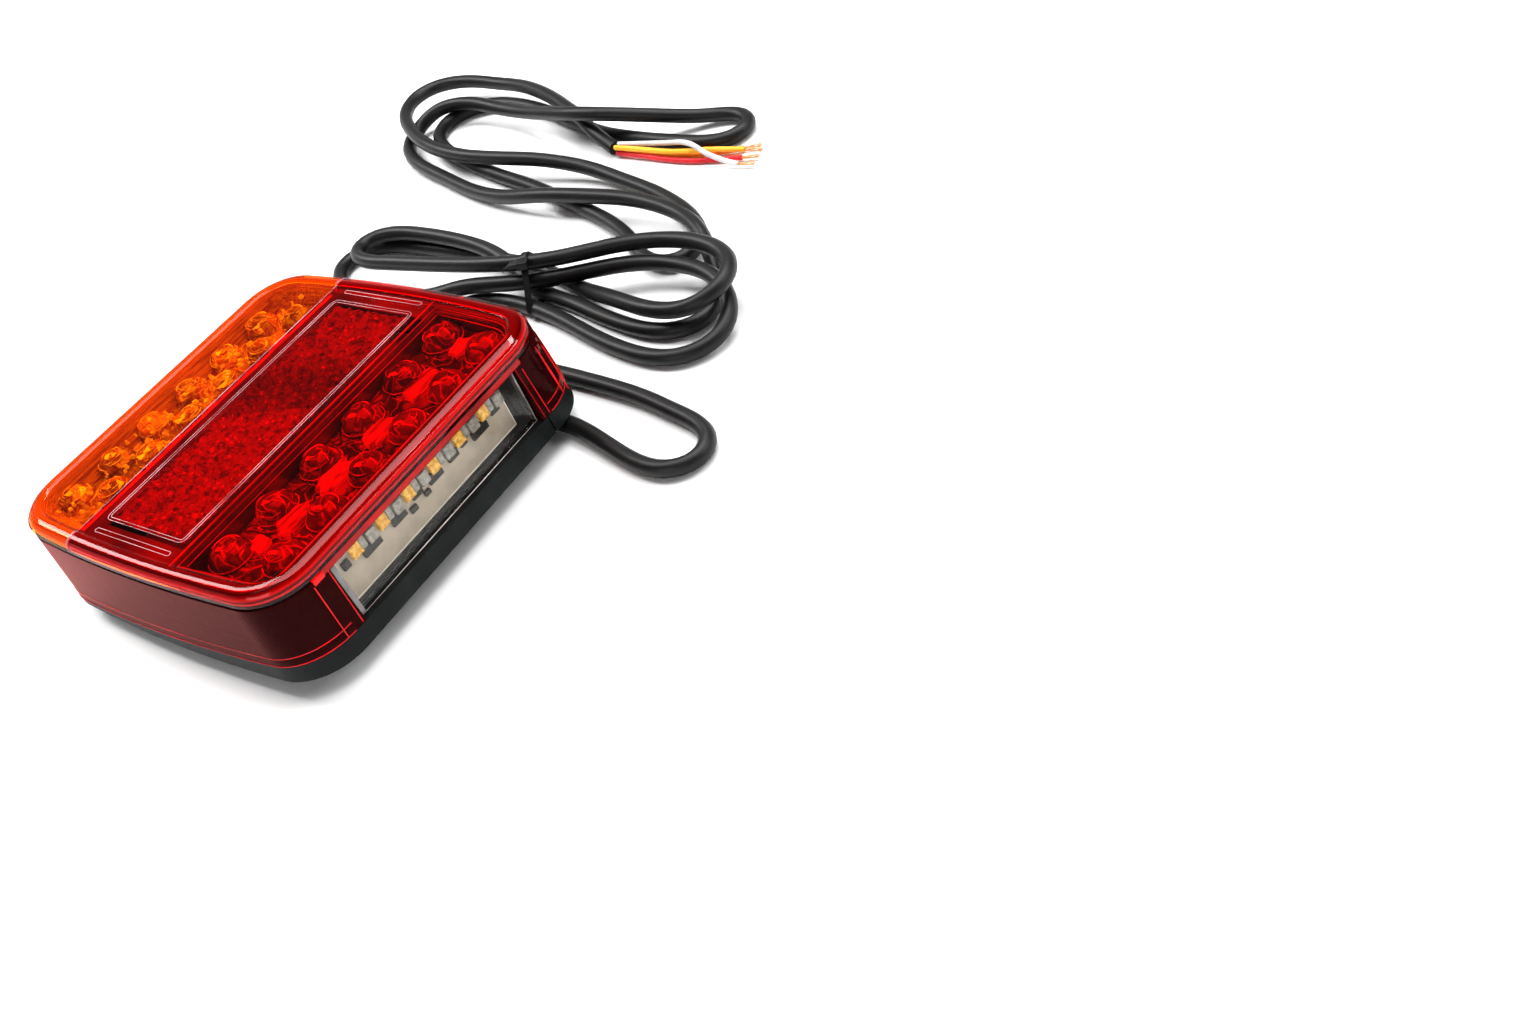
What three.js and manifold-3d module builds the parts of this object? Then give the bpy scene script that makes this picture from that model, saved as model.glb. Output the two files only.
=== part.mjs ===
// LED trailer tail lamp: indicator, reflex reflector, stop and tail light, and number plate light.
// Millimetres, +Z out of the lens, +X towards the number plate window, Y along the strips of the face.
// The origin is on the surface that the lamp stands on, under its middle.

import * as THREE from 'three';
import { mergeVertices } from 'three/addons/utils/BufferGeometryUtils.js';
import Module from 'manifold-3d';

const wasm = await Module();
wasm.setup();

// ---------------------------------------------------------------- driving dimensions

const HALF_WIDTH = 50;        // outline of the bezel, X
const HALF_LENGTH = 49.9;     // outline of the bezel, Y, at the crown of the short sides
const SIDE_BOW = 2.5;         // how far the short sides bulge
const CORNER_RADIUS = 14;
const FLARE = 0.026;          // the walls grow by this much from the bezel down to the back

const FOOT_HEIGHT = 5;        // room under the back for the cable
const BACK_Z = FOOT_HEIGHT;   // lower edge of the base wall
const DECK_Z = 9.5;           // underside of the base's deck
const DECK_THICK = 2;
const PARTING_Z = 7.7;        // seam between base and skirt, at the middle
const PARTING_SLOPE = 0.041;  // the seam rises towards the window
const UPSTAND_Z = 15;         // top of the base's wall inside the skirt
const SKIRT_TOP_Z = 26.1;
const GASKET_Z = 26.2;
const BEZEL_Z = 26.8;         // lower edge of the face lenses
const FACE_Z = 30;            // flat of the face lenses
const TOP_Z = 30.7;           // crest of the reflector's frame

const WALL = 2;
const GAP = 0.3;              // room between pieces that fit in each other

const SEAM_X = -22.9;         // where amber meets red
const FRAME = { x0: -17.8, x1: 12.1, halfY: 40, bar: 1 };
const STOP_AREA = { x0: 13.6, x1: 43.2, halfY: 44.6 };
const TURN_AREA = { x0: -46.6, x1: -24.4, halfY: 44.6 };

const WINDOW = { halfY: 32, z0: 9.9, z1: 25.2, x0: 47.4, x1: 49.4 };
const CHAMBER_X = 43.5;       // back of the number plate chamber

const TRAY = { inset: 3.4, wall: 1.2, ledge: 2.4, z0: 20.6, z1: 27.9 };
const OPTIC = { margin: 1.5, z: 23.2 };
const REFLEX = { inset: 1.4, z0: FACE_Z - 4.2, z1: FACE_Z - 2 };

const BOARD_Z = 15.6;         // main board, underside
const BOARD_THICK = 1.6;
const LED_RADIUS = 2.5;

const BOSS = { x: 25, radius: 7 };
const GLAND = { x: 10, y: 36, z: 5.4, length: 20, rootRadius: 3.9, tipRadius: 3 };

const BEYOND = 60;            // clear of the lamp's outline, for the blocks that cut it

// ---------------------------------------------------------------- solids

const group = new THREE.Group();

const FINISHES = {
  blackPlastic: { color: 0x1c1d1e, roughness: 0.5, metalness: 0 },
  rubber: { color: 0x101010, roughness: 0.7, metalness: 0 },
  smoke: { color: 0x5a1214, roughness: 0.12, metalness: 0 },
  red: { color: 0xb00408, roughness: 0.08, metalness: 0 },
  amber: { color: 0xe06a08, roughness: 0.08, metalness: 0 },
  reflex: { color: 0xc8060a, roughness: 0.2, metalness: 0.2 },
  clear: { color: 0xd8d8d4, roughness: 0.05, metalness: 0 },
  board: { color: 0xd8cdb8, roughness: 0.6, metalness: 0 },
  chip: { color: 0xf2b23a, roughness: 0.3, metalness: 0 },
  resin: { color: 0x26221f, roughness: 0.35, metalness: 0 },
  brass: { color: 0xb8924a, roughness: 0.35, metalness: 1 },
  jacket: { color: 0x0e0e0f, roughness: 0.45, metalness: 0 },
  whiteWire: { color: 0xe9e9e9, roughness: 0.45, metalness: 0 },
  redWire: { color: 0xd01018, roughness: 0.45, metalness: 0 },
  orangeWire: { color: 0xf07a10, roughness: 0.45, metalness: 0 },
  yellowWire: { color: 0xf5a518, roughness: 0.45, metalness: 0 },
};

function toSolid(geometry) {
  const bare = geometry.clone();
  bare.deleteAttribute('normal');
  bare.deleteAttribute('uv');
  const merged = mergeVertices(bare, 1e-4);
  const index = merged.index.array;
  const triangles = [];
  for (let i = 0; i < index.length; i += 3) {
    const [a, b, c] = [index[i], index[i + 1], index[i + 2]];
    if (a !== b && b !== c && c !== a) triangles.push(a, b, c);
  }
  return new wasm.Manifold(new wasm.Mesh({
    numProp: 3,
    vertProperties: new Float32Array(merged.attributes.position.array),
    triVerts: new Uint32Array(triangles),
  }));
}

function toGeometry(solid) {
  const mesh = solid.getMesh();
  const geometry = new THREE.BufferGeometry();
  geometry.setAttribute('position', new THREE.BufferAttribute(new Float32Array(mesh.vertProperties), 3));
  geometry.setIndex(new THREE.BufferAttribute(new Uint32Array(mesh.triVerts), 1));
  geometry.computeVertexNormals();
  return geometry;
}

function addPiece(name, solid, finish) {
  const mesh = new THREE.Mesh(toGeometry(solid), new THREE.MeshStandardMaterial(FINISHES[finish]));
  mesh.name = name;
  group.add(mesh);
}

function box(x0, x1, y0, y1, z0, z1) {
  const geometry = new THREE.BoxGeometry(x1 - x0, y1 - y0, z1 - z0);
  return toSolid(geometry.translate((x0 + x1) / 2, (y0 + y1) / 2, (z0 + z1) / 2));
}

function extrude(shape, z0, z1, curveSegments = 8) {
  const geometry = new THREE.ExtrudeGeometry(shape, { depth: z1 - z0, bevelEnabled: false, curveSegments });
  return geometry.translate(0, 0, z0);
}

// A body of revolution about a vertical axis, from points [radius, height] that start and end on the axis.
function turned(profile, x, y, z, segments = 8) {
  const points = profile.map(([radius, height]) => new THREE.Vector2(radius, height));
  return toSolid(new THREE.LatheGeometry(points, segments).rotateX(Math.PI / 2).translate(x, y, z));
}

// The lamp's outline: straight long sides, bowed short sides and round corners.
function outline(inset) {
  const halfX = HALF_WIDTH - inset;
  const radius = Math.max(CORNER_RADIUS - inset, 1);
  const bowRadius = (halfX ** 2 + SIDE_BOW ** 2) / (2 * SIDE_BOW);
  const bowCentre = HALF_LENGTH - inset - bowRadius;
  const cornerX = halfX - radius;
  const cornerY = bowCentre + Math.sqrt((bowRadius - radius) ** 2 - cornerX ** 2);
  const turn = Math.atan2(cornerY - bowCentre, cornerX);
  const shape = new THREE.Shape();
  shape.absarc(cornerX, cornerY, radius, 0, turn);
  shape.absarc(0, bowCentre, bowRadius, turn, Math.PI - turn);
  shape.absarc(-cornerX, cornerY, radius, Math.PI - turn, Math.PI);
  shape.absarc(-cornerX, -cornerY, radius, Math.PI, Math.PI + turn);
  shape.absarc(0, -bowCentre, bowRadius, Math.PI + turn, 2 * Math.PI - turn);
  shape.absarc(cornerX, -cornerY, radius, -turn, 0);
  return shape;
}

// Widens a geometry towards the back, as the moulded walls do.
function flared(geometry) {
  const position = geometry.attributes.position;
  for (let i = 0; i < position.count; i++) {
    const depth = Math.max(0, BEZEL_Z - position.getZ(i)) / (BEZEL_Z - BACK_Z);
    const growth = 1 + FLARE * depth;
    position.setXY(i, position.getX(i) * growth, position.getY(i) * growth);
  }
  return geometry;
}

function block(inset, z0, z1) {
  return toSolid(flared(extrude(outline(inset), z0, z1)));
}

// Everything above the sloping seam between base and skirt, raised by lift.
function aboveParting(lift) {
  const size = 140;
  const geometry = new THREE.BoxGeometry(size, size, size).translate(0, 0, size / 2);
  geometry.rotateY(-Math.atan(PARTING_SLOPE)).translate(0, 0, PARTING_Z + lift);
  return toSolid(geometry);
}

// ---------------------------------------------------------------- base and fixings

function baseHousing() {
  const rim = block(0, BACK_Z, 14).subtract(aboveParting(0));
  const upstand = block(WALL + GAP, DECK_Z, UPSTAND_Z);
  let base = rim.add(upstand);
  base = base.subtract(block(WALL + GAP + 1.6, DECK_Z + DECK_THICK, UPSTAND_Z + 1));
  base = base.subtract(block(WALL + 0.4, BACK_Z - 1, DECK_Z));
  const bay = WINDOW.halfY + 1;
  base = base.subtract(box(CHAMBER_X - GAP, WINDOW.x0, -bay, bay, DECK_Z - 1, 30));
  base = base.subtract(box(WINDOW.x0 - GAP, BEYOND, -bay, bay, WINDOW.z0, 30));
  base = base.subtract(box(HALF_WIDTH + 0.6, BEYOND, bay + 0.3, bay + 0.8, 0, DECK_Z + DECK_THICK));
  for (const side of [-1, 1]) {
    const boss = [[0, 0], [BOSS.radius, 0], [BOSS.radius, DECK_Z + 0.5], [0, DECK_Z + 0.5]];
    const pocket = [[0, -1], [3.8, -1], [3.8, 9], [0, 9]];
    base = base.add(turned(boss, side * BOSS.x, 0, 0, 20));
    base = base.subtract(turned(pocket, side * BOSS.x, 0, 0, 16));
  }
  for (const [x, y] of [[-38, -38], [38, -38], [-38, 38], [40, 20]]) {
    base = base.add(box(x - 4, x + 4, y - 4, y + 4, 0, DECK_Z + 0.2));
  }
  const holeTop = DECK_Z + DECK_THICK + 1;
  const glandHole = [[0, DECK_Z - 1], [3.5, DECK_Z - 1], [3.5, holeTop], [0, holeTop]];
  return base.subtract(turned(glandHole, GLAND.x, GLAND.y, 0, 16));
}
addPiece('base_housing', baseHousing(), 'blackPlastic');

for (const [name, side] of [['fixing_insert_amber_side', -1], ['fixing_insert_window_side', 1]]) {
  const body = [[0, 0.2], [3.5, 0.2], [3.5, 8.7], [0, 8.7]];
  const thread = [[0, -1], [2.1, -1], [2.1, 7.5], [0, 7.5]];
  const insert = turned(body, side * BOSS.x, 0, 0, 16).subtract(turned(thread, side * BOSS.x, 0, 0, 12));
  addPiece(name, insert, 'brass');
}

function cableGland() {
  const nose = toSolid(
    new THREE.CylinderGeometry(GLAND.tipRadius, GLAND.rootRadius, GLAND.length, 12)
      .rotateZ(-Math.PI / 2)
      .translate(GLAND.x + GLAND.length / 2, GLAND.y, GLAND.z),
  );
  const plug = turned([[0, GLAND.z], [3.2, GLAND.z], [3.2, 14], [0, 14]], GLAND.x, GLAND.y, 0, 12);
  const head = box(GLAND.x - 5, GLAND.x + 4, GLAND.y - 4.5, GLAND.y + 4.5, 1.4, DECK_Z - GAP);
  return nose.add(plug).add(head);
}
addPiece('cable_gland', cableGland(), 'rubber');

const pottingRing = block(WALL + GAP + 2, DECK_Z + DECK_THICK + 0.2, 13.4)
  .subtract(box(CHAMBER_X - 0.5, BEYOND, -BEYOND, BEYOND, 0, 30))
  .subtract(turned([[0, 9], [3.6, 9], [3.6, 15], [0, 15]], GLAND.x, GLAND.y, 0, 12));
addPiece('potting_resin', pottingRing, 'resin');

// ---------------------------------------------------------------- skirt, gasket and face lenses

function skirt() {
  const shell = block(0, BACK_Z, SKIRT_TOP_Z).subtract(block(WALL, BACK_Z - 1, SKIRT_TOP_Z + 1));
  const opening = box(30, BEYOND, -WINDOW.halfY, WINDOW.halfY, BACK_Z, WINDOW.z1);
  return shell.intersect(aboveParting(0.1)).subtract(opening);
}
addPiece('smoked_skirt', skirt(), 'smoke');

const gasket = block(0.6, GASKET_Z, GASKET_Z + 0.5).subtract(block(3.2, GASKET_Z - 1, GASKET_Z + 2));
addPiece('face_gasket', gasket, 'rubber');

// The bezel's edge is rounded in two steps, and its crest stands a little above the face.
function faceShell() {
  const edge = 2.2;
  const core = 0.02;
  const shoulder = FACE_Z - 1.8;
  const bevelled = new THREE.ExtrudeGeometry(outline(edge), {
    depth: core,
    bevelEnabled: true,
    bevelSize: edge,
    bevelThickness: edge,
    bevelSegments: 3,
    curveSegments: 8,
  }).translate(0, 0, FACE_Z + 0.4 - edge - core);
  const crest = toSolid(bevelled).intersect(box(-BEYOND, BEYOND, -BEYOND, BEYOND, shoulder, FACE_Z + 1));
  let shell = block(0, BEZEL_Z, shoulder).add(crest);
  shell = shell.subtract(toSolid(extrude(outline(2 * edge), FACE_Z, FACE_Z + 2)));
  return shell.subtract(toSolid(extrude(outline(WALL), BEZEL_Z - 1, shoulder)));
}
const face = faceShell();

function reflectorFrame() {
  const { x0, x1, halfY, bar } = FRAME;
  const outer = box(x0, x1, -halfY, halfY, FACE_Z - 0.5, TOP_Z);
  let bars = outer.subtract(box(x0 + bar, x1 - bar, -halfY + bar, halfY - bar, FACE_Z - 1, TOP_Z + 1));
  for (const side of [-1, 1]) {
    const y = side * (halfY + 3.2);
    bars = bars.add(box(x0 + 1, x1 - 1.5, y - bar / 2, y + bar / 2, FACE_Z - 0.5, TOP_Z - 0.2));
  }
  return bars;
}

const amberSide = box(-BEYOND, SEAM_X + 0.1, -BEYOND, BEYOND, 0, BEYOND);
const redSide = box(SEAM_X - 0.1, BEYOND, -BEYOND, BEYOND, 0, BEYOND);
addPiece('red_lens', face.subtract(amberSide).add(reflectorFrame()), 'red');
addPiece('amber_lens', face.subtract(redSide), 'amber');

const reflector = box(
  FRAME.x0 + REFLEX.inset, FRAME.x1 - REFLEX.inset,
  -FRAME.halfY + REFLEX.inset, FRAME.halfY - REFLEX.inset,
  REFLEX.z0, REFLEX.z1,
);
addPiece('reflex_reflector', reflector, 'reflex');

// ---------------------------------------------------------------- light chambers

// A strip's frame: a wall that follows the lamp's outline, with a ledge at its foot.
function tray({ x0, x1, halfY }) {
  const { inset, wall, ledge, z0, z1 } = TRAY;
  const hull = toSolid(extrude(outline(inset), z0, z1));
  const outer = hull.intersect(box(x0, x1, -halfY, halfY, z0, z1));
  const inner = toSolid(extrude(outline(inset + wall), z0 - 1, z1 + 1))
    .intersect(box(x0 + wall, x1 - wall, -halfY + wall, halfY - wall, z0 - 1, z1 + 1));
  const shelf = toSolid(extrude(outline(inset + ledge), z0 - 1, z1 + 1))
    .intersect(box(x0 + ledge, x1 - ledge, -halfY + ledge, halfY - ledge, z0 - 1, z1 + 1));
  const step = outer.intersect(box(-BEYOND, BEYOND, -BEYOND, BEYOND, z0, z0 + 1)).subtract(shelf);
  return outer.subtract(inner).add(step);
}

// Centres of the bubble lenses of a strip, six to a column.
function ledPlaces(columns) {
  return columns.flatMap(({ x, middle, pitch }) => (
    [0, 1, 2, 3, 4, 5].map((i) => [x, middle + (i - 2.5) * pitch])
  ));
}
const STOP_LEDS = ledPlaces([{ x: 20, middle: 1.3, pitch: 14.8 }, { x: 35.3, middle: 2.6, pitch: 14 }]);
const TURN_LEDS = ledPlaces([{ x: -40.4, middle: -2.4, pitch: 13 }, { x: -30.6, middle: 2.4, pitch: 13 }]);

// A strip's plate of bubble lenses.
function optic({ x0, x1, halfY }, places, radius) {
  const { margin, z } = OPTIC;
  let plate = toSolid(extrude(outline(TRAY.inset + margin), z, z + 1))
    .intersect(box(x0 + margin, x1 - margin, -halfY + margin, halfY - margin, z, z + 1));
  const dome = [
    [0, 0], [radius, 0], [radius * 0.94, 1.5], [radius * 0.72, 2.9], [radius * 0.38, 3.8], [0, 4.1],
  ];
  for (const [x, y] of places) {
    plate = plate.add(turned(dome, x, y, z + 0.5, 12));
  }
  return plate;
}

addPiece('stop_tray', tray(STOP_AREA), 'blackPlastic');
addPiece('stop_optic', optic(STOP_AREA, STOP_LEDS, 5.2), 'red');
addPiece('indicator_tray', tray(TURN_AREA), 'chip');
addPiece('indicator_optic', optic(TURN_AREA, TURN_LEDS, 4.8), 'amber');

const divider = box(SEAM_X - 0.7, SEAM_X + 0.7, -44, 44, BOARD_Z + 2, FACE_Z - 2.1);
addPiece('chamber_divider', divider, 'blackPlastic');

const mainBoard = toSolid(extrude(outline(5), BOARD_Z, BOARD_Z + BOARD_THICK))
  .subtract(box(CHAMBER_X - 1, BEYOND, -BEYOND, BEYOND, 0, BEYOND));
addPiece('main_board', mainBoard, 'board');

function led(x, y) {
  const z = BOARD_Z + BOARD_THICK + 0.1;
  const profile = [[0, 0], [2.9, 0], [2.9, 0.9], [LED_RADIUS, 0.9], [LED_RADIUS, 2.6], [1.6, 4], [0, 4.4]];
  return turned(profile, x, y, z);
}
STOP_LEDS.forEach(([x, y], i) => addPiece(`stop_led_${i + 1}`, led(x, y), 'clear'));
TURN_LEDS.forEach(([x, y], i) => addPiece(`indicator_led_${i + 1}`, led(x, y), 'clear'));

// ---------------------------------------------------------------- number plate light

const PLATE_BOARD = { x: 44.8, thick: 1, y0: -30, y1: 28.3, z0: 11.1, z1: 24.8 };
const PLATE_LEDS = { count: 6, y0: -23.1, pitch: 8.9, z0: 19.5, z1: 22.7 };

function windowPane() {
  const { halfY, z0, z1, x0, x1 } = WINDOW;
  return box(x0, x1, -halfY + GAP, halfY - GAP, z0 + GAP, z1 - GAP);
}
addPiece('plate_window', windowPane(), 'clear');

function plateChamber() {
  const x1 = WINDOW.x0 - GAP;
  const floor = DECK_Z + GAP;
  const outer = box(CHAMBER_X, x1, -WINDOW.halfY, WINDOW.halfY, floor, WINDOW.z1);
  return outer.subtract(box(CHAMBER_X + 1, BEYOND, -WINDOW.halfY + 1, WINDOW.halfY - 1, floor + 1, 30));
}
addPiece('plate_chamber', plateChamber(), 'blackPlastic');

function plateBoard() {
  const { x, thick, y0, y1, z0, z1 } = PLATE_BOARD;
  return box(x, x + thick, y0, y1, z0, z1);
}
addPiece('plate_board', plateBoard(), 'board');

for (let i = 0; i < PLATE_LEDS.count; i++) {
  const x = PLATE_BOARD.x + PLATE_BOARD.thick + 0.1;
  const y = PLATE_LEDS.y0 + i * PLATE_LEDS.pitch;
  const chip = box(x, x + 1, y - 1.5, y + 1.5, PLATE_LEDS.z0, PLATE_LEDS.z1);
  addPiece(`plate_led_${i + 1}`, chip, 'chip');
}

// ---------------------------------------------------------------- cable

const CABLE = { radius: 2.2, sides: 10, step: 6 };
const LAYER = 4.6;            // rise of the cable's middle where it lies on another strand
const WIRE = { radius: 0.8, sides: 8, step: 4 };
const HANK_HEIGHT = 13.8;
const TIE = {
  x: 4, y: 82.5, turn: 24 * Math.PI / 180, width: 2.6, thick: 0.9, halfSpan: 9.6, z0: 1.2, z1: 13.4,
};

// Each point is x, y and the layer that the cable lies in, 0 on the ground and 1 on top of one strand.
const LEAD_ROUTE = [
  [30.4, 36, 0.685], [34, 36.1, 0.64], [39, 37.5, 0.35], [46, 39.3, 0.03], [55, 38, 0], [65, 35, 0],
  [75, 32, 0], [84, 31, 0], [90, 34, 0], [92, 39.5, 0], [89, 44.5, 0], [82.5, 47.5, 0], [75, 49, 0],
  [67, 51, 0], [57, 52.5, 0],
  [46, 53.5, 0], [30, 54.5, 0], [14, 55, 0], [-2, 55.5, 0], [-12, 58, 0], [-18, 62.5, 0], [-20, 67, 0],
];
const TAIL_ROUTE = [[-28, 150, 0.6], [-23.5, 148.6, 0.3], [-18.5, 147, 0]];

function cablePoints(route) {
  return route.map(([x, y, layer]) => new THREE.Vector3(x, y, CABLE.radius + 0.05 + layer * LAYER));
}

function tube(points, { radius, sides, step }) {
  const curve = new THREE.CatmullRomCurve3(points, false, 'centripetal');
  const section = new THREE.Shape();
  section.absarc(0, 0, radius, 0, 2 * Math.PI);
  const steps = Math.max(3, Math.round(curve.getLength() / step));
  return toSolid(new THREE.ExtrudeGeometry(section, { steps, extrudePath: curve, curveSegments: sides / 2 }));
}

function hank(points) {
  const shape = new THREE.Shape(points.map(([x, y]) => new THREE.Vector2(x, y)));
  return toSolid(extrude(shape, 0.05, HANK_HEIGHT));
}

addPiece('cable_lead', tube(cablePoints(LEAD_ROUTE), CABLE), 'jacket');
addPiece('cable_tail', tube(cablePoints(TAIL_ROUTE), CABLE), 'jacket');

function tieBand(grow, height) {
  const size = [TIE.width + 2 * height, 2 * (TIE.halfSpan + grow), TIE.z1 - TIE.z0 + 2 * grow];
  const geometry = new THREE.BoxGeometry(...size).rotateZ(TIE.turn);
  return toSolid(geometry.translate(TIE.x, TIE.y, (TIE.z0 + TIE.z1) / 2));
}

const LOWER_OUTLINE = [
  [4, 72.6], [20, 68.5], [40, 63.2], [56, 61.6], [66, 63.8], [72, 70], [73, 80], [72, 89], [66, 97],
  [58, 101], [48, 102.2], [36, 100.5], [20, 96], [6, 92.6], [-6, 95], [-20, 96], [-40, 97], [-62, 97.5],
  [-74, 93.5], [-79.3, 83], [-76, 73.5], [-66, 68.5], [-45, 67.6], [-22, 67.6], [-8, 72],
];
const waist = tieBand(0, GAP);
const waistRoom = tieBand(3, GAP).subtract(waist);
addPiece('cable_hank_near', hank(LOWER_OUTLINE).subtract(waistRoom), 'jacket');
addPiece('cable_tie', tieBand(0.2 + TIE.thick, 0).subtract(tieBand(0.2, 1)), 'blackPlastic');

const UPPER_OUTLINE = [
  [18, 102.7], [54, 102.7], [52, 108], [44, 116], [34, 122.5], [22, 128], [8, 133], [-6, 137], [-30, 137.8],
  [-60, 136.2], [-82, 141.5], [-91, 148], [-92.5, 154], [-86, 156], [-60, 152], [-42, 147.8], [-30.2, 146],
  [-28.5, 152.3], [-24, 152.6], [-12, 150.3], [0, 150], [10, 150.2], [17, 151.6], [24, 157], [25, 163],
  [20, 169.5], [10, 170.2], [0, 167.5], [-14, 158.5], [-30, 157], [-44, 163], [-60, 171], [-78, 176],
  [-100, 176.5], [-114, 172.5], [-120, 164], [-119.5, 153], [-111, 143], [-106, 137.5], [-93, 129.3],
  [-76, 124], [-57, 118.5], [-40, 115.5], [-22, 114.8], [3, 111.2], [13.5, 106.5],
];
addPiece('cable_hank_far', hank(UPPER_OUTLINE), 'jacket');

const WIRE_ROUTES = {
  white: [
    [-17.4, 147.9, 3.2], [-10, 148.8, 3.2], [0, 149, 3.9], [10, 148.2, 5], [19, 145.8, 3.2],
    [28, 145.2, 1.4], [34, 146, 1.2],
  ],
  red: [
    [-17.4, 146.1, 1.3], [-8, 145.9, 1.1], [2, 145.4, 0.9], [12, 145.6, 0.9], [20, 147, 0.9],
    [28, 148.6, 1], [33, 149.6, 1.1],
  ],
  orange: [
    [-17.4, 147.9, 1.3], [-8, 148, 1], [2, 147.9, 0.9], [11, 148.4, 0.9], [17, 149.8, 0.9],
    [24, 152.2, 1], [31, 154.4, 1.4],
  ],
  yellow: [
    [-17.4, 146.1, 3.2], [-8, 146.4, 3], [2, 146.4, 2.9], [9, 147, 3], [16, 148.6, 2.9],
    [25, 150.6, 2.2], [33, 152, 1.6],
  ],
};
for (const [colour, points] of Object.entries(WIRE_ROUTES)) {
  const path = points.map(([x, y, z]) => new THREE.Vector3(x, y, z));
  addPiece(`wire_${colour}`, tube(path, WIRE), `${colour}Wire`);
}

export default group;
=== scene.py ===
"""A square LED trailer tail lamp with its coiled cable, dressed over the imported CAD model, +Z up.

Shapes are in millimetres, the CAD part's unit, and MM turns them into Blender's metres.
"""
import random
from math import atan2, copysign, cos, pi, radians, sin, sqrt

import bmesh
import bpy
from mathutils import Euler, Matrix, Vector, geometry


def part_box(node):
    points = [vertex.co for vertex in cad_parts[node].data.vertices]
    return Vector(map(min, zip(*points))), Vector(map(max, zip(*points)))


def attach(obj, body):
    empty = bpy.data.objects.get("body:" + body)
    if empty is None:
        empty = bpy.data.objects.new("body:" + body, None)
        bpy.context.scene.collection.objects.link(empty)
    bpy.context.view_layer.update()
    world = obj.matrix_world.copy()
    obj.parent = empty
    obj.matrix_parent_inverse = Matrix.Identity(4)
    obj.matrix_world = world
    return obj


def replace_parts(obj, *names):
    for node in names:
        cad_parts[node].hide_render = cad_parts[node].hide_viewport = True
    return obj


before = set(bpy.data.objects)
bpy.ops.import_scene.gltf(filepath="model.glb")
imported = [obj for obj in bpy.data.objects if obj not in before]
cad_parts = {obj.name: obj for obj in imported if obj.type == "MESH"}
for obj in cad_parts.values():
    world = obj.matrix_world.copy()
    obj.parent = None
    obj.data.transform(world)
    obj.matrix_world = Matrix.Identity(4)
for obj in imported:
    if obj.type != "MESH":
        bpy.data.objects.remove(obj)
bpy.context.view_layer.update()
random.seed(7)
MM = 0.001


def add_object(name, data):
    added = bpy.data.objects.new(name, data)
    bpy.context.scene.collection.objects.link(added)
    return added


# ----- camera

camera_data = bpy.data.cameras.new("camera")
camera_data.lens = 37.467
camera_data.sensor_width = 36
camera_data.clip_start = 0.01
camera = add_object("camera", camera_data)
tilt = Euler([radians(angle) for angle in (47.22, 17.8665, 33.1723)])
camera.matrix_world = Matrix.LocRotScale(Vector((0.31182, -0.14239, 0.22039)), tilt, None)
bpy.context.scene.camera = camera

# ----- materials


def material(name, shader="ShaderNodeBsdfPrincipled"):
    mat = bpy.data.materials.new(name)
    mat.use_nodes = True
    tree = mat.node_tree
    tree.nodes.clear()
    out = tree.nodes.new("ShaderNodeOutputMaterial")
    node = tree.nodes.new(shader)
    tree.links.new(node.outputs[0], out.inputs["Surface"])
    return mat, tree, node


def set_inputs(node, values):
    for name, value in values.items():
        node.inputs[name].default_value = value


def noise_texture(tree, scale, detail=2.0, kind="ShaderNodeTexNoise"):
    coords = tree.nodes.new("ShaderNodeTexCoord")
    texture = tree.nodes.new(kind)
    texture.inputs["Scale"].default_value = scale
    if "Detail" in texture.inputs:
        texture.inputs["Detail"].default_value = detail
    tree.links.new(coords.outputs["Object"], texture.inputs["Vector"])
    return texture


def ramp(tree, source, stops):
    node = tree.nodes.new("ShaderNodeValToRGB")
    while len(node.color_ramp.elements) < len(stops):
        node.color_ramp.elements.new(0.5)
    for element, (position, colour) in zip(node.color_ramp.elements, stops):
        element.position = position
        element.color = (*colour, 1)
    tree.links.new(source, node.inputs["Fac"])
    return node.outputs["Color"]


def add_bump(tree, shader, source, strength, distance):
    bump = tree.nodes.new("ShaderNodeBump")
    set_inputs(bump, {"Strength": strength, "Distance": distance})
    tree.links.new(source, bump.inputs["Height"])
    tree.links.new(bump.outputs["Normal"], shader.inputs["Normal"])


def map_range(tree, source, start, end, new_start=0.0, new_end=1.0):
    """Turns the values from start to end into values from new_start to new_end."""
    node = tree.nodes.new("ShaderNodeMapRange")
    set_inputs(node, {"From Min": start, "From Max": end, "To Min": new_start, "To Max": new_end})
    tree.links.new(source, node.inputs["Value"])
    return node.outputs["Result"]


def multiply_add(tree, source, factor, addend):
    node = tree.nodes.new("ShaderNodeMath")
    node.operation = "MULTIPLY_ADD"
    node.inputs[1].default_value = factor
    tree.links.new(source, node.inputs[0])
    tree.links.new(addend, node.inputs[2])
    return node.outputs["Value"]


def multiply(tree, source, factor):
    """The product of two colours."""
    mix = tree.nodes.new("ShaderNodeMix")
    mix.data_type = "RGBA"
    mix.blend_type = "MULTIPLY"
    mix.inputs["Factor"].default_value = 1
    tree.links.new(source, mix.inputs["A"])
    tree.links.new(factor, mix.inputs["B"])
    return mix.outputs["Result"]


def place_axes(tree, output="Object"):
    """The X, Y and Z of a place on the piece, or of another output of the texture coordinates."""
    coords = tree.nodes.new("ShaderNodeTexCoord")
    axes = tree.nodes.new("ShaderNodeSeparateXYZ")
    tree.links.new(coords.outputs[output], axes.inputs["Vector"])
    return axes.outputs


def grey(value):
    return (value, value, value)


GRAIN = 12  # how many times finer the grain is than the clouds of colour


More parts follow.
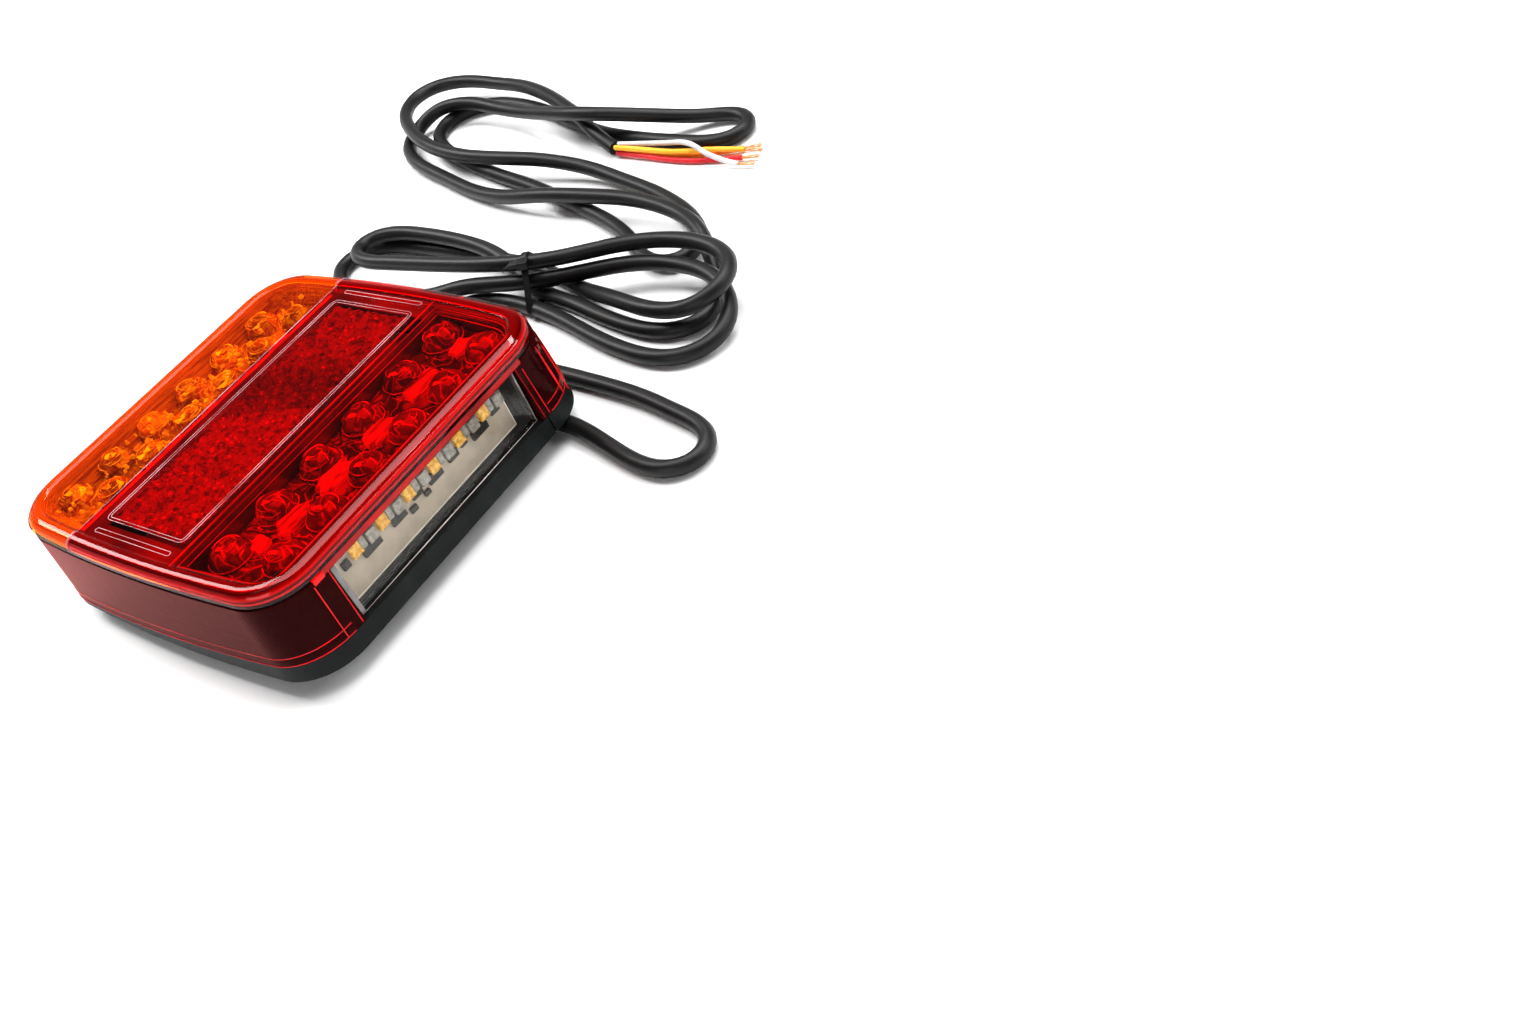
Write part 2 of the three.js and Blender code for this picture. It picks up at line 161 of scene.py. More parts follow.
def plastic(name, dark, light, rough=(0.3, 0.45), scale=150, bump=(0.1, 0.0001), metal=0.0, coat=0.0,
            shine=0.5, painted_glow=None):
    """An opaque moulded surface: colour and roughness vary softly, with a fine grain. The painted glow is a
    colour and a strength: painted light that makes a part shine though it is no lamp."""
    mat, tree, node = material(name)
    clouds = noise_texture(tree, scale).outputs["Fac"]
    tree.links.new(ramp(tree, clouds, [(0.3, dark), (0.7, light)]), node.inputs["Base Color"])
    tree.links.new(map_range(tree, clouds, 0, 1, *rough), node.inputs["Roughness"])
    add_bump(tree, node, noise_texture(tree, scale * GRAIN).outputs["Fac"], *bump)
    set_inputs(node, {"Metallic": metal, "Specular IOR Level": shine})
    set_inputs(node, {"Coat Weight": coat, "Coat Roughness": 0.05})
    if painted_glow:
        set_inputs(node, {"Emission Color": (*painted_glow[0], 1), "Emission Strength": painted_glow[1]})
    return mat


def mirror_share(tree, least, most):
    """How much a clear surface mirrors, the same from both sides: least face on, and most at a slant."""
    facing = tree.nodes.new("ShaderNodeLayerWeight")
    facing.inputs["Blend"].default_value = 0.5
    steep = tree.nodes.new("ShaderNodeMath")
    steep.operation = "POWER"
    steep.inputs[1].default_value = 5.0
    tree.links.new(facing.outputs["Facing"], steep.inputs[0])
    return map_range(tree, steep.outputs["Value"], 0, 1, least, most)


def tinted(name, tint, tint_dark, least, most, scale=60, sheen=(1, 1, 1), body=None, share=0.0):
    """Thin clear plastic: it passes tinted light straight on, and mirrors from least to most of it. With a
    body, a share of what it would pass is a milky solid of that colour instead."""
    mat, tree, mix = material(name, "ShaderNodeMixShader")
    through = tree.nodes.new("ShaderNodeBsdfTransparent")
    mirror = tree.nodes.new("ShaderNodeBsdfGlossy")
    set_inputs(mirror, {"Roughness": 0.03, "Color": (*sheen, 1)})
    clouds = noise_texture(tree, scale).outputs["Fac"]
    tree.links.new(ramp(tree, clouds, [(0.3, tint_dark), (0.7, tint)]), through.inputs["Color"])
    tree.links.new(mirror_share(tree, least, most), mix.inputs["Fac"])
    inside = through
    if body:
        inside = tree.nodes.new("ShaderNodeMixShader")
        inside.inputs["Fac"].default_value = share
        milky = tree.nodes.new("ShaderNodeBsdfDiffuse")
        milky.inputs["Color"].default_value = (*body, 1)
        tree.links.new(through.outputs[0], inside.inputs[1])
        tree.links.new(milky.outputs[0], inside.inputs[2])
    tree.links.new(inside.outputs[0], mix.inputs[1])
    tree.links.new(mirror.outputs["BSDF"], mix.inputs[2])
    return mat


def painted_light_streaks(name, stops, low=27.0, high=30.4):
    """Glossy plastic with painted reflections and shade: bright and dark lines of colour run along an edge.
    The stops follow height, from low to high in millimetres, and waver a little."""
    mat, tree, node = material(name)
    height = map_range(tree, place_axes(tree)["Z"], low * MM, high * MM)
    clouds = noise_texture(tree, 90).outputs["Fac"]
    wavering = multiply_add(tree, clouds, 0.12, height)
    tree.links.new(ramp(tree, wavering, stops), node.inputs["Base Color"])
    tree.links.new(map_range(tree, clouds, 0, 1, 0.1, 0.14), node.inputs["Roughness"])
    set_inputs(node, {"Coat Weight": 0.5, "Coat Roughness": 0.05})
    return mat


def painted_sparkle(name, pits, dark, light, cell, shade_from, shade_to):
    """Prisms with painted light and shade: a painted sparkle cell by cell, painted shade at the cells' edges,
    and a painted darker band between two places along Y.
    """
    mat, tree, node = material(name)
    cells = noise_texture(tree, cell, kind="ShaderNodeTexVoronoi")
    chance = tree.nodes.new("ShaderNodeSeparateColor")
    tree.links.new(cells.outputs["Color"], chance.inputs["Color"])
    sparks = ramp(tree, chance.outputs[0], [(0.0, pits), (0.25, dark), (0.55, dark), (0.72, light)])
    edges = ramp(tree, cells.outputs["Distance"], [(0.3, grey(1)), (0.65, grey(0.25))])
    axes = place_axes(tree)
    slanted = multiply_add(tree, axes["X"], -0.35, axes["Y"])
    along = map_range(tree, slanted, shade_from * MM, shade_to * MM)
    shade = ramp(tree, along, [(0.0, grey(1)), (0.04, grey(0.45)), (0.5, grey(0.3)), (1.0, grey(0.85))])
    colour = multiply(tree, multiply(tree, sparks, edges), shade)
    tree.links.new(colour, node.inputs["Base Color"])
    set_inputs(node, {"Roughness": 0.3, "Specular IOR Level": 0.3})
    return mat


def painted_caustics(name, dark, middle, bright, scale, distortion, rough=0.15, bump=0.0005, crest=None):
    """Moulded clear plastic that bends what is behind it, with that light painted on: thin bright curls of
    painted light between darker pools of painted shade. The crest is the colour of its widest patches, bright
    if it isn't given."""
    mat, tree, node = material(name)
    curls = noise_texture(tree, scale, 1.5)
    curls.inputs["Distortion"].default_value = distortion
    painted_shade_pools = noise_texture(tree, scale * 0.5, 1.0)
    stops = [(0.28, dark), (0.44, middle), (0.475, bright), (0.50, middle), (0.56, dark)]
    lines = ramp(tree, curls.outputs["Fac"], [*stops, (0.72, crest or bright)])
    light = ramp(tree, painted_shade_pools.outputs["Fac"], [(0.42, grey(0.4)), (0.60, grey(1))])
    tree.links.new(multiply(tree, lines, light), node.inputs["Base Color"])
    add_bump(tree, node, curls.outputs["Fac"], 0.5, bump)
    set_inputs(node, {"Roughness": rough, "Coat Weight": 0.8, "Coat Roughness": 0.05})
    return mat


def striated(name, dark, light, scale, stretch):
    """Moulded plastic with fine lines, a little askew to Y and longer than they are wide by the stretch."""
    mat, tree, node = material(name)
    coords = tree.nodes.new("ShaderNodeTexCoord")
    squeeze = tree.nodes.new("ShaderNodeMapping")
    set_inputs(squeeze, {"Scale": (1, 1 / stretch, 1), "Rotation": (0, 0, 0.2)})
    lines = tree.nodes.new("ShaderNodeTexNoise")
    lines.inputs["Scale"].default_value = scale
    tree.links.new(coords.outputs["Object"], squeeze.inputs["Vector"])
    tree.links.new(squeeze.outputs["Vector"], lines.inputs["Vector"])
    tree.links.new(ramp(tree, lines.outputs["Fac"], [(0.36, dark), (0.56, light)]), node.inputs["Base Color"])
    add_bump(tree, node, lines.outputs["Fac"], 0.5, 0.0003)
    set_inputs(node, {"Roughness": 0.3, "Specular IOR Level": 0.3})
    return mat


NO_GRAIN = (0.0, 0.0001)
MAT = {
    # Housing, cable and boards.
    "black": plastic("black_housing", (0.004, 0.0052, 0.0052), (0.009, 0.011, 0.011), (0.38, 0.5), 120,
                     shine=0.09),
    "jacket": plastic("cable_jacket", grey(0.002), grey(0.004), (0.40, 0.46), 90, (0.12, 0.0001), shine=0.25),
    "rubber": plastic("rubber", grey(0.008), grey(0.018), (0.5, 0.65), 200),
    "tie": plastic("nylon_tie", grey(0.003), grey(0.008), (0.35, 0.45), 300, shine=0.2),
    "copper": plastic("copper", (0.72, 0.30, 0.12), (0.95, 0.55, 0.30), (0.25, 0.4), 900, metal=1.0),
    "brass": plastic("brass", (0.55, 0.38, 0.14), (0.75, 0.55, 0.25), (0.25, 0.4), 500, metal=1.0),
    "resin": plastic("potting_resin", (0.015, 0.012, 0.010), (0.03, 0.025, 0.02), (0.15, 0.3), 80, coat=0.5),
    "board": plastic("main_board", (0.55, 0.52, 0.46), (0.7, 0.68, 0.6), (0.3, 0.45), 200),
    "led": plastic("led_package", (0.75, 0.72, 0.68), (0.95, 0.9, 0.85), (0.1, 0.2), 700, coat=0.8),
    "cream": plastic("cream_board", (0.42, 0.36, 0.29), (0.53, 0.46, 0.38), (0.35, 0.5), 260),
    "cream_edge": plastic("cream_edge", (0.9, 0.88, 0.82), (1.0, 0.98, 0.94), (0.4, 0.5), 260),
    # Painted light: a faint glow lifts the black recess round the plate board.
    "chamber": plastic("chamber", grey(0.002), grey(0.004), (0.55, 0.6), 90, NO_GRAIN, shine=0.0,
                       painted_glow=((1.0, 0.92, 0.86), 0.014)),
    # Painted light: the unlit amber LED chips are given a glow.
    "chip": plastic("amber_chip", (0.60, 0.20, 0.005), (1.0, 0.66, 0.12), (0.2, 0.35), 900, (0.5, 0.0003),
                    painted_glow=((1.0, 0.5, 0.03), 0.15)),
    "block": plastic("led_block", (0.20, 0.19, 0.17), (0.50, 0.48, 0.44), (0.1, 0.25), 900, (0.6, 0.0004),
                     coat=0.8),
    "part": plastic("board_part", (0.008, 0.007, 0.006), (0.02, 0.018, 0.016), (0.3, 0.4), 300, NO_GRAIN,
                    shine=0.3),

    # Stop light, seen through the red lens.
    "stop_tray": plastic("stop_tray", (0.05, 0.004, 0.004), (0.16, 0.01, 0.01), (0.12, 0.25), 100, coat=0.6),
    # Painted light and shade: bright curls and dark pools for the light that the clear optics bend.
    "stop_floor": painted_caustics("stop_floor", (0.03, 0.0, 0.0), (0.12, 0.01, 0.01), (0.75, 0.1, 0.1), 110, 1.2),
    "stop_dome": painted_caustics("stop_dome", (0.09, 0.002, 0.002), (0.24, 0.01, 0.01), (0.85, 0.05, 0.05), 170, 1.0,
                        0.08, crest=(0.34, 0.01, 0.01)),
    "stop_pad": striated("stop_pad", (0.28, 0.05, 0.05), (0.80, 0.3, 0.3), 700, 5),
    "stop_line": plastic("stop_line", (0.35, 0.02, 0.02), (0.75, 0.05, 0.05), (0.15, 0.3), 60, coat=0.5),
    # Painted glints on the stop light's lenses.
    "stop_glint": plastic("stop_glint", (0.45, 0.03, 0.03), (1.0, 0.5, 0.5), (0.05, 0.15), 300, (0.4, 0.0005),
                          coat=1.0),

    # Indicator, seen through the amber lens.
    "turn_tray": striated("turn_tray", (0.36, 0.10, 0.04), (0.70, 0.32, 0.12), 1400, 14),
    # Painted light and shade for the indicator's optics, the same way.
    "turn_floor": painted_caustics("turn_floor", (0.40, 0.10, 0.0), (0.75, 0.26, 0.1), (1.0, 0.9, 0.3), 220, 1.2, 0.3),
    "turn_dome": painted_caustics("turn_dome", (0.40, 0.09, 0.0), (0.72, 0.24, 0.08), (1.0, 0.85, 0.3), 260, 1.2, 0.15,
                        0.0002),
    "turn_line": plastic("turn_line", (0.40, 0.09, 0.02), (0.60, 0.18, 0.05), (0.3, 0.45), 200),
    # Painted glints on the indicator's lenses, with a painted glow.
    "turn_glint": plastic("turn_glint", (0.85, 0.5, 0.2), (1.0, 1.0, 0.7), (0.05, 0.15), 400, (0.4, 0.0005),
                          coat=1.0, painted_glow=((1.0, 0.7, 0.3), 0.12)),

    # Reflex reflector and its frame.
    # Painted sparkle and shade on the reflector's prisms.
    "reflex": painted_sparkle("reflex_prisms", (0.02, 0.0, 0.0), (0.33, 0.0, 0.0), (1.0, 0.10, 0.10), 560, 2, 27),
    # Painted highlights on the frame's ridges and along the seam.
    "ridge": plastic("ridge_painted_highlights", (0.22, 0.01, 0.02), (0.80, 0.42, 0.46), (0.12, 0.2), 70, NO_GRAIN,
                     coat=0.6),
    "surround": plastic("reflector_surround", (0.015, 0.001, 0.001), (0.26, 0.01, 0.01), (0.1, 0.25), 55,
                        coat=0.6),

    # Clear plastic, and the lines of colour that light draws along its edges, painted on.
    "red_clear": tinted("red_clear", (0.95, 0.01, 0.015), (0.90, 0.005, 0.01), 0.02, 0.4),
    "amber_clear": tinted("amber_clear", (1.0, 0.43, 0.005), (0.97, 0.40, 0.005), 0.02, 0.2),
    "smoke_clear": tinted("smoke_clear", (0.30, 0.03, 0.03), (0.22, 0.02, 0.02), 0.004, 0.72, 30,
                          (0.88, 0.33, 0.31), body=(0.026, 0.003, 0.003), share=0.6),
    "clear": tinted("window_clear", (0.97, 0.96, 0.93), (0.93, 0.92, 0.90), 0.015, 0.9, 30),
    # Painted reflections and shade in the thick rims, as bands by height.
    "rim_red": painted_light_streaks("rim_red", [
        (0.0, (0.60, 0.02, 0.01)), (0.22, (0.55, 0.02, 0.01)), (0.30, (0.03, 0.0, 0.0)),
        (0.42, (0.06, 0.0, 0.0)), (0.52, (0.65, 0.05, 0.02)), (0.66, (0.34, 0.01, 0.01)),
        (0.80, (0.04, 0.0, 0.0)), (1.0, (0.22, 0.01, 0.01)),
    ]),
    "rim_amber": painted_light_streaks("rim_amber", [
        (0.0, (0.85, 0.45, 0.30)), (0.22, (0.35, 0.10, 0.03)), (0.5, (0.95, 0.42, 0.24)),
        (0.8, (0.55, 0.14, 0.04)), (1.0, (0.85, 0.32, 0.1)),
    ]),
    "amber_edge": plastic("amber_edge", (0.10, 0.012, 0.0), (0.22, 0.04, 0.005), (0.2, 0.3), 200),
    # Painted light: an orange glow along the red rim's near side, for the amber lens's light seen in it.
    "painted_orange_glow": plastic("painted_orange_glow", (0.75, 0.06, 0.0), (1.0, 0.14, 0.0), (0.2, 0.3), 60,
                           painted_glow=((1.0, 0.1, 0.0), 0.1)),
    # Painted light: bright red lines that light draws along the skirt's edges.
    "painted_edge_light": plastic("red_painted_edge_light", (0.25, 0.0, 0.002), (0.85, 0.005, 0.006), (0.2, 0.3), 90, shine=0.2,
                    painted_glow=((1.0, 0.0, 0.0), 0.03)),
    "hood": plastic("window_hood", (0.09, 0.0, 0.0), (0.50, 0.0, 0.0), (0.2, 0.3), 70, shine=0.2),
    # Painted glints along the pane's edges.
    "pane_painted_glint": plastic("pane_painted_glint", (0.40, 0.30, 0.30), (0.75, 0.65, 0.64), (0.1, 0.2), 120, coat=0.8),
    "pane_edge": plastic("pane_edge", (0.05, 0.045, 0.045), (0.20, 0.18, 0.18), (0.08, 0.2), 120, coat=0.8),

    "floor": plastic("pale_floor", grey(0.86), grey(0.9), (0.6, 0.7), 5, NO_GRAIN),
}
for colour, dark, light in (("white", grey(0.55), grey(0.66)),
                            ("red", (0.55, 0.01, 0.015), (0.7, 0.02, 0.03)),
                            ("orange", (0.8, 0.2, 0.01), (0.95, 0.28, 0.02)),
                            ("yellow", (0.85, 0.40, 0.02), (1.0, 0.52, 0.04))):
    MAT[f"wire_{colour}"] = plastic(f"{colour}_wire", dark, light, (0.3, 0.4), 200, shine=0.2)

# ----- mesh helpers


def link(name, data, mat, ride="root"):
    piece = add_object(name, data)
    data.materials.append(MAT[mat])
    if ride:
        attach(piece, ride)
    return piece


def finish_mesh(name, bm, mat, smooth=30, bevel=0.0):
    """Turns a bmesh in millimetres into a piece: smooth but for edges sharper than that many degrees, and
    with its edges rounded by the bevel."""
    bmesh.ops.recalc_face_normals(bm, faces=bm.faces)
    bmesh.ops.scale(bm, vec=(MM, MM, MM), verts=bm.verts)
    mesh = bpy.data.meshes.new(name)
    bm.to_mesh(mesh)
    bm.free()
    if smooth:
        mesh.shade_smooth()
        mesh.set_sharp_from_angle(angle=radians(smooth))
    piece = link(name, mesh, mat)
    if bevel:
        modifier = piece.modifiers.new("rounded_edges", "BEVEL")
        modifier.width = bevel * MM
        modifier.segments = 2
        modifier.limit_method = "ANGLE"
        modifier.harden_normals = bool(smooth)
    return piece


def loft(bm, rings, caps=(False, False)):
    """Skins closed rings that all have the same number of points. The caps close the first and the last."""
    rows = [[bm.verts.new(p) for p in ring] for ring in rings]
    count = len(rows[0])
    for low, high in zip(rows, rows[1:]):
        for i in range(count):
            j = (i + 1) % count
            bm.faces.new((low[i], low[j], high[j], high[i]))
    if caps[0]:
        bm.faces.new(rows[0])
    if caps[1]:
        bm.faces.new(rows[-1])
    return rows


def add_box(bm, low, high, turn=None):
    verts = bmesh.ops.create_cube(bm, size=1)["verts"]
    bmesh.ops.scale(bm, vec=[b - a for a, b in zip(low, high)], verts=verts)
    if turn:
        bmesh.ops.rotate(bm, matrix=turn, verts=verts)
    bmesh.ops.translate(bm, vec=Vector([(a + b) / 2 for a, b in zip(low, high)]), verts=verts)


def add_line(bm, path, radius, closed=True, sides=8):
    """A thin round line along a path; an open one tapers to its ends."""
    count = len(path)
    rows = []
    for i, p in enumerate(path):
        before = path[i - 1] if closed or i else p
        after = path[(i + 1) % count] if closed or i < count - 1 else p
        along = (after - before).normalized()
        across = along.cross(Vector((0, 0, 1))).normalized()
        up = across.cross(along)
        size = radius if closed else radius * max(0.15, sin(pi * i / (count - 1))) ** 0.6
        rows.append([p + (across * cos(a) + up * sin(a)) * size
                     for a in (2 * pi * s / sides for s in range(sides))])
    if closed:
        verts = loft(bm, rows)
        for s in range(sides):
            t = (s + 1) % sides
            bm.faces.new((verts[-1][s], verts[-1][t], verts[0][t], verts[0][s]))
    else:
        loft(bm, rows, caps=(True, True))


def rounded_box(x0, x1, y0, y1, radius, z, steps=6):
    """A rectangle's outline with round corners, as points at height z."""
    points = []
    left, right, near, far = x0 + radius, x1 - radius, y0 + radius, y1 - radius
    for quarter, (cx, cy) in enumerate(((right, far), (left, far), (left, near), (right, near))):
        for k in range(steps + 1):
            angle = pi / 2 * (quarter + k / steps)
            points.append(Vector((cx + radius * cos(angle), cy + radius * sin(angle), z)))
    return points


def add_arcs(bm, centres, count, radius, height, base, thick):
    """Short curved glints on round lenses: random arcs that follow each lens's surface."""
    for x, y in centres:
        for _ in range(count):
            reach = random.uniform(0.25, 1.0)
            start, span = random.uniform(0, 2 * pi), random.uniform(0.5, 2.0)
            lift = base + height * sqrt(max(0.0, 1 - reach ** 2)) + 0.12
            path = []
            for k in range(9):
                angle = start + span * k / 8
                wobble = reach * radius * (1 + 0.04 * sin(3 * angle + start))
                path.append(Vector((x + wobble * cos(angle), y + wobble * sin(angle), lift)))
            add_line(bm, path, thick * random.uniform(0.6, 1.5), closed=False, sides=5)


# ----- cable

CABLE_RADIUS = 2.2
LAYER = 4.6  # rise of the cable's middle where it lies on another strand

# x, y in millimetres and the layer the cable lies in: 0 on the ground, 1 on top of one strand.
ROUTE = [
    (30.4, 36, 0.685), (34, 36.1, 0.64), (39, 37.5, 0.35), (46, 39.3, 0.02), (55, 38, 0), (65, 35, 0),
    (75, 32, 0), (84, 31, 0), (90, 34, 0), (92, 39.5, 0), (89, 44.5, 0), (82.5, 47.5, 0), (75, 49, 0),
    (67, 51, 0), (57, 52.5, 0), (46, 53.5, 0), (30, 54.5, 0), (14, 55, 0), (-2, 55.5, 0), (-12, 58, 0),
    (-18, 62.5, 0), (-20, 67, 0), (-18.5, 72, 0), (-13.5, 75.5, 0), (-5, 76.5, 0), (5, 76, 0),
    (16, 74, 0), (25, 71.5, 0), (35, 68.5, 0), (46, 66, 0), (56, 65, 0), (64, 66.5, 0),
    (69.5, 71, 0.05), (71.5, 77.5, 0.2), (69.5, 84, 0.6), (64, 89.5, 0.9), (57, 93, 1), (49, 94.5, 1),
    (39, 94.5, 1), (30, 92.5, 1), (21, 88.5, 1), (11, 83.5, 1), (2, 80, 1), (-8, 77.5, 1),
    (-18, 75.3, 0.9), (-30, 72.5, 0.3), (-45, 71, 0), (-60, 71, 0), (-69.5, 73, 0), (-76, 78, 0),
    (-77.5, 84.5, 0), (-73.5, 90, 0), (-65, 92.8, 0), (-53, 93.5, 0), (-40, 93.5, 0), (-28, 93, 0),
    (-16, 92.5, 0), (-5, 91.5, 0), (6, 89, 0), (17, 85.5, 0.02), (28, 81.5, 0.6), (38, 78.5, 1),
    (47, 76.5, 1.1), (55, 76, 1.2), (62, 77, 1.4), (67.5, 80.5, 1.8), (69, 86.5, 2), (65.5, 93.5, 2),
    (58.5, 97.5, 2), (50, 99, 2), (42, 98.5, 2), (33, 96.5, 2), (24, 92.5, 2), (15, 87.5, 2),
    (6, 83.8, 2), (-5, 81, 2), (-18, 79.8, 1.8), (-33, 79, 1.6), (-48, 78.5, 1.4), (-59, 78.5, 1.2),
    (-67, 80.3, 1.1), (-70.8, 85, 1), (-68.5, 90.5, 1), (-61, 93.5, 1), (-50, 94, 1), (-35, 93.3, 1),
    (-23, 91.5, 1), (-12, 88.5, 0.8), (-4, 85.3, 0.3), (4, 82.3, 0), (18, 79.8, 0), (30, 76.8, 0),
    (39, 75, 0), (48, 74, 0), (56, 75, 0), (61.5, 79, 0), (62.5, 85.5, 0), (59, 91.5, 0), (55, 97, 0),
    (50, 102.5, 0.4), (44, 108, 1), (36, 113, 1), (26, 116.5, 1), (12, 118.8, 1), (-4, 118.3, 1),
    (-22, 117.3, 0.9), (-40, 118, 0.3), (-56, 121, 0), (-75, 126.5, 0), (-92, 132, 0), (-103, 139, 0),
    (-107.5, 147.5, 0), (-103, 155.3, 0.8), (-91, 159.5, 1), (-75, 158.5, 0.8), (-60, 156, 1),
    (-45, 152.5, 1.6), (-29, 150.5, 2), (-15, 154.5, 1.5), (-5, 159.5, 0.8), (3, 164, 0.2),
    (10, 167.3, 0), (16.5, 167.5, 0), (21.5, 164.2, 0), (22.3, 158.8, 0), (18.5, 154.3, 0),
    (10, 152.5, 0), (0, 152.2, 0), (-12, 152.5, 0), (-28, 154, 0), (-44, 158.5, 0), (-58, 163, 0),
    (-72, 166, 0), (-84, 166.5, 0), (-93.5, 163.5, 0), (-98.5, 156.5, 0), (-97.5, 149.5, 0),
    (-92, 143.5, 0), (-82, 138.5, 0), (-66, 133, 0), (-50, 129, 0), (-36, 126, 0), (-20, 121.5, 0),
    (-8, 118, 0), (4, 114, 0), (15, 109, 0), (23.5, 103, 0), (30, 99.5, 0), (36.5, 99.3, 0),
    (41, 103, 0), (41, 109, 0), (36.5, 115, 0), (30, 120, 0), (22, 124, 0), (12, 128, 0),
    (-4, 132, 0.1), (-19, 134.5, 0.4), (-36, 133.5, 0.9), (-53, 132, 1), (-70, 132, 1), (-87, 135.5, 1),
    (-101, 142, 1), (-113, 151, 1), (-117, 161, 1), (-113.5, 169, 0.9), (-102, 173, 0.8),
    (-89, 173.5, 0.6), (-76, 171.5, 0.8), (-60, 166, 1), (-46, 159.5, 1.05), (-35, 154, 1),
    (-28, 150, 0.6), (-23.5, 148.6, 0.3), (-18.5, 147, 0),
]


def catmull_rom(points, per_span=8):
    """A centripetal Catmull-Rom curve through the points."""
    ends = [points[0] * 2 - points[1], *points, points[-1] * 2 - points[-2]]
    out = []
    for p0, p1, p2, p3 in zip(ends, ends[1:], ends[2:], ends[3:]):
        t1 = (p1 - p0).length ** 0.5
        t2 = t1 + (p2 - p1).length ** 0.5
        t3 = t2 + (p3 - p2).length ** 0.5
        for k in range(per_span):
            t = t1 + (t2 - t1) * k / per_span
            a1 = p0 * ((t1 - t) / t1) + p1 * (t / t1)
            a2 = p1 * ((t2 - t) / (t2 - t1)) + p2 * ((t - t1) / (t2 - t1))
            a3 = p2 * ((t3 - t) / (t3 - t2)) + p3 * ((t - t2) / (t3 - t2))
            b1 = a1 * ((t2 - t) / t2) + a2 * (t / t2)
            b2 = a2 * ((t3 - t) / (t3 - t1)) + a3 * ((t - t1) / (t3 - t1))
            out.append(b1 * ((t2 - t) / (t2 - t1)) + b2 * ((t - t1) / (t2 - t1)))
    return [*out, points[-1]]


def even_steps(points, step):
    """The same line with points one step apart."""
    out, carried = [points[0]], 0.0
    for a, b in zip(points, points[1:]):
        length = (b - a).length
        while carried + length >= step:
            a = a.lerp(b, (step - carried) / length)
            length = (b - a).length
            out.append(a)
            carried = 0.0
        carried += length
    return [*out, points[-1]]


def relaxed(points, reach, rounds):
    """Rounds off what is tighter than the cable would bend, and keeps both ends where they are."""
    for _ in range(rounds):
        out = []
        for i in range(len(points)):
            r = min(reach, i, len(points) - 1 - i)
            near = points[i - r:i + r + 1]
            out.append(sum(near, Vector()) / len(near))
        points = out
    return points


def wire_curve(name, lines, radius, mat, resolution=2):
    """Round wires, each along its own line of points in millimetres."""
    data = bpy.data.curves.new(name, "CURVE")
    data.dimensions = "3D"
    for points in lines:
        spline = data.splines.new("POLY")
        spline.points.add(len(points) - 1)
        for target, p in zip(spline.points, points):
            target.co = (*(p * MM), 1)
    data.bevel_depth = radius * MM
    data.bevel_resolution = resolution
    data.use_fill_caps = True
    data.twist_mode = "MINIMUM"
    return link(name, data, mat)


route = [Vector((x, y, CABLE_RADIUS + 0.1 + layer * LAYER)) for x, y, layer in ROUTE]
line = relaxed(even_steps(catmull_rom(route), 1.0), 4, 2)
line = even_steps([Vector((p.x, p.y, max(p.z, CABLE_RADIUS + 0.06))) for p in line], 2.0)
cable = wire_curve("cable", [line], CABLE_RADIUS, "jacket", 3)
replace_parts(cable, "cable_lead", "cable_tail", "cable_hank_near", "cable_hank_far")

WIRES = {
    "white": [(-17.4, 147.9, 3.2), (-10, 148.8, 3.2), (0, 149, 3.9), (10, 148.2, 5), (19, 145.8, 3.2),
              (28, 145.2, 1.4), (34, 146, 1.2)],
    "red": [(-17.4, 146.1, 1.3), (-8, 145.9, 1.1), (2, 145.4, 0.9), (12, 145.6, 0.9), (20, 147, 0.9),
            (28, 148.6, 1), (33, 149.6, 1.1)],
    "orange": [(-17.4, 147.9, 1.3), (-8, 148, 1), (2, 147.9, 0.9), (11, 148.4, 0.9), (17, 149.8, 0.9),
               (24, 152.2, 1), (31, 154.4, 1.4)],
    "yellow": [(-17.4, 146.1, 3.2), (-8, 146.4, 3), (2, 146.4, 2.9), (9, 147, 3), (16, 148.6, 2.9),
               (25, 150.6, 2.2), (33, 152, 1.6)],
}
WIRE_RADIUS, STRAND_RADIUS = 0.78, 0.16
STRANDS = 5
STRIPPED = 6.0  # bare length at the end of each wire
WIRE_STEP = 0.8


def twisted_strands(bare):
    """Copper strands about the line of a wire's bare end, twisted, and spreading towards their tips."""
    strands = []
    for strand in range(STRANDS):
        start = strand * 2 * pi / STRANDS
        path = []
        for i, p in enumerate(bare):
            angle = start + i * 0.35
            spread = min(0.3 + 0.03 * i * (1 + sin(strand * 2.1)), 0.5)
            path.append(p + Vector((0, cos(angle), sin(angle))) * spread)
        strands.append(path)
    return strands


on_cable = []
for colour, points in WIRES.items():
    wire = f"wire_{colour}"
    middle = even_steps(catmull_rom([Vector(p) for p in points]), WIRE_STEP)
    cut = len(middle) - int(STRIPPED / WIRE_STEP)
    sheath = wire_curve(f"{wire}_sheath", [middle[:cut]], WIRE_RADIUS, wire)
    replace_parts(sheath, wire)
    strands = twisted_strands(middle[cut - 1:])
    on_cable += [sheath, wire_curve(f"strands_{colour}", strands, STRAND_RADIUS, "copper", 1)]

# ----- cable tie

TIE_TURN = radians(24)
TIE_REACH = 11.0  # strands further along the tie than this aren't in its grip
TIE_HUG = CABLE_RADIUS + 0.35
tie_across = Vector((-sin(TIE_TURN), cos(TIE_TURN), 0))
tie_along = Vector((cos(TIE_TURN), sin(TIE_TURN), 0))
tie_middle = Vector((4.0, 82.5, 0))


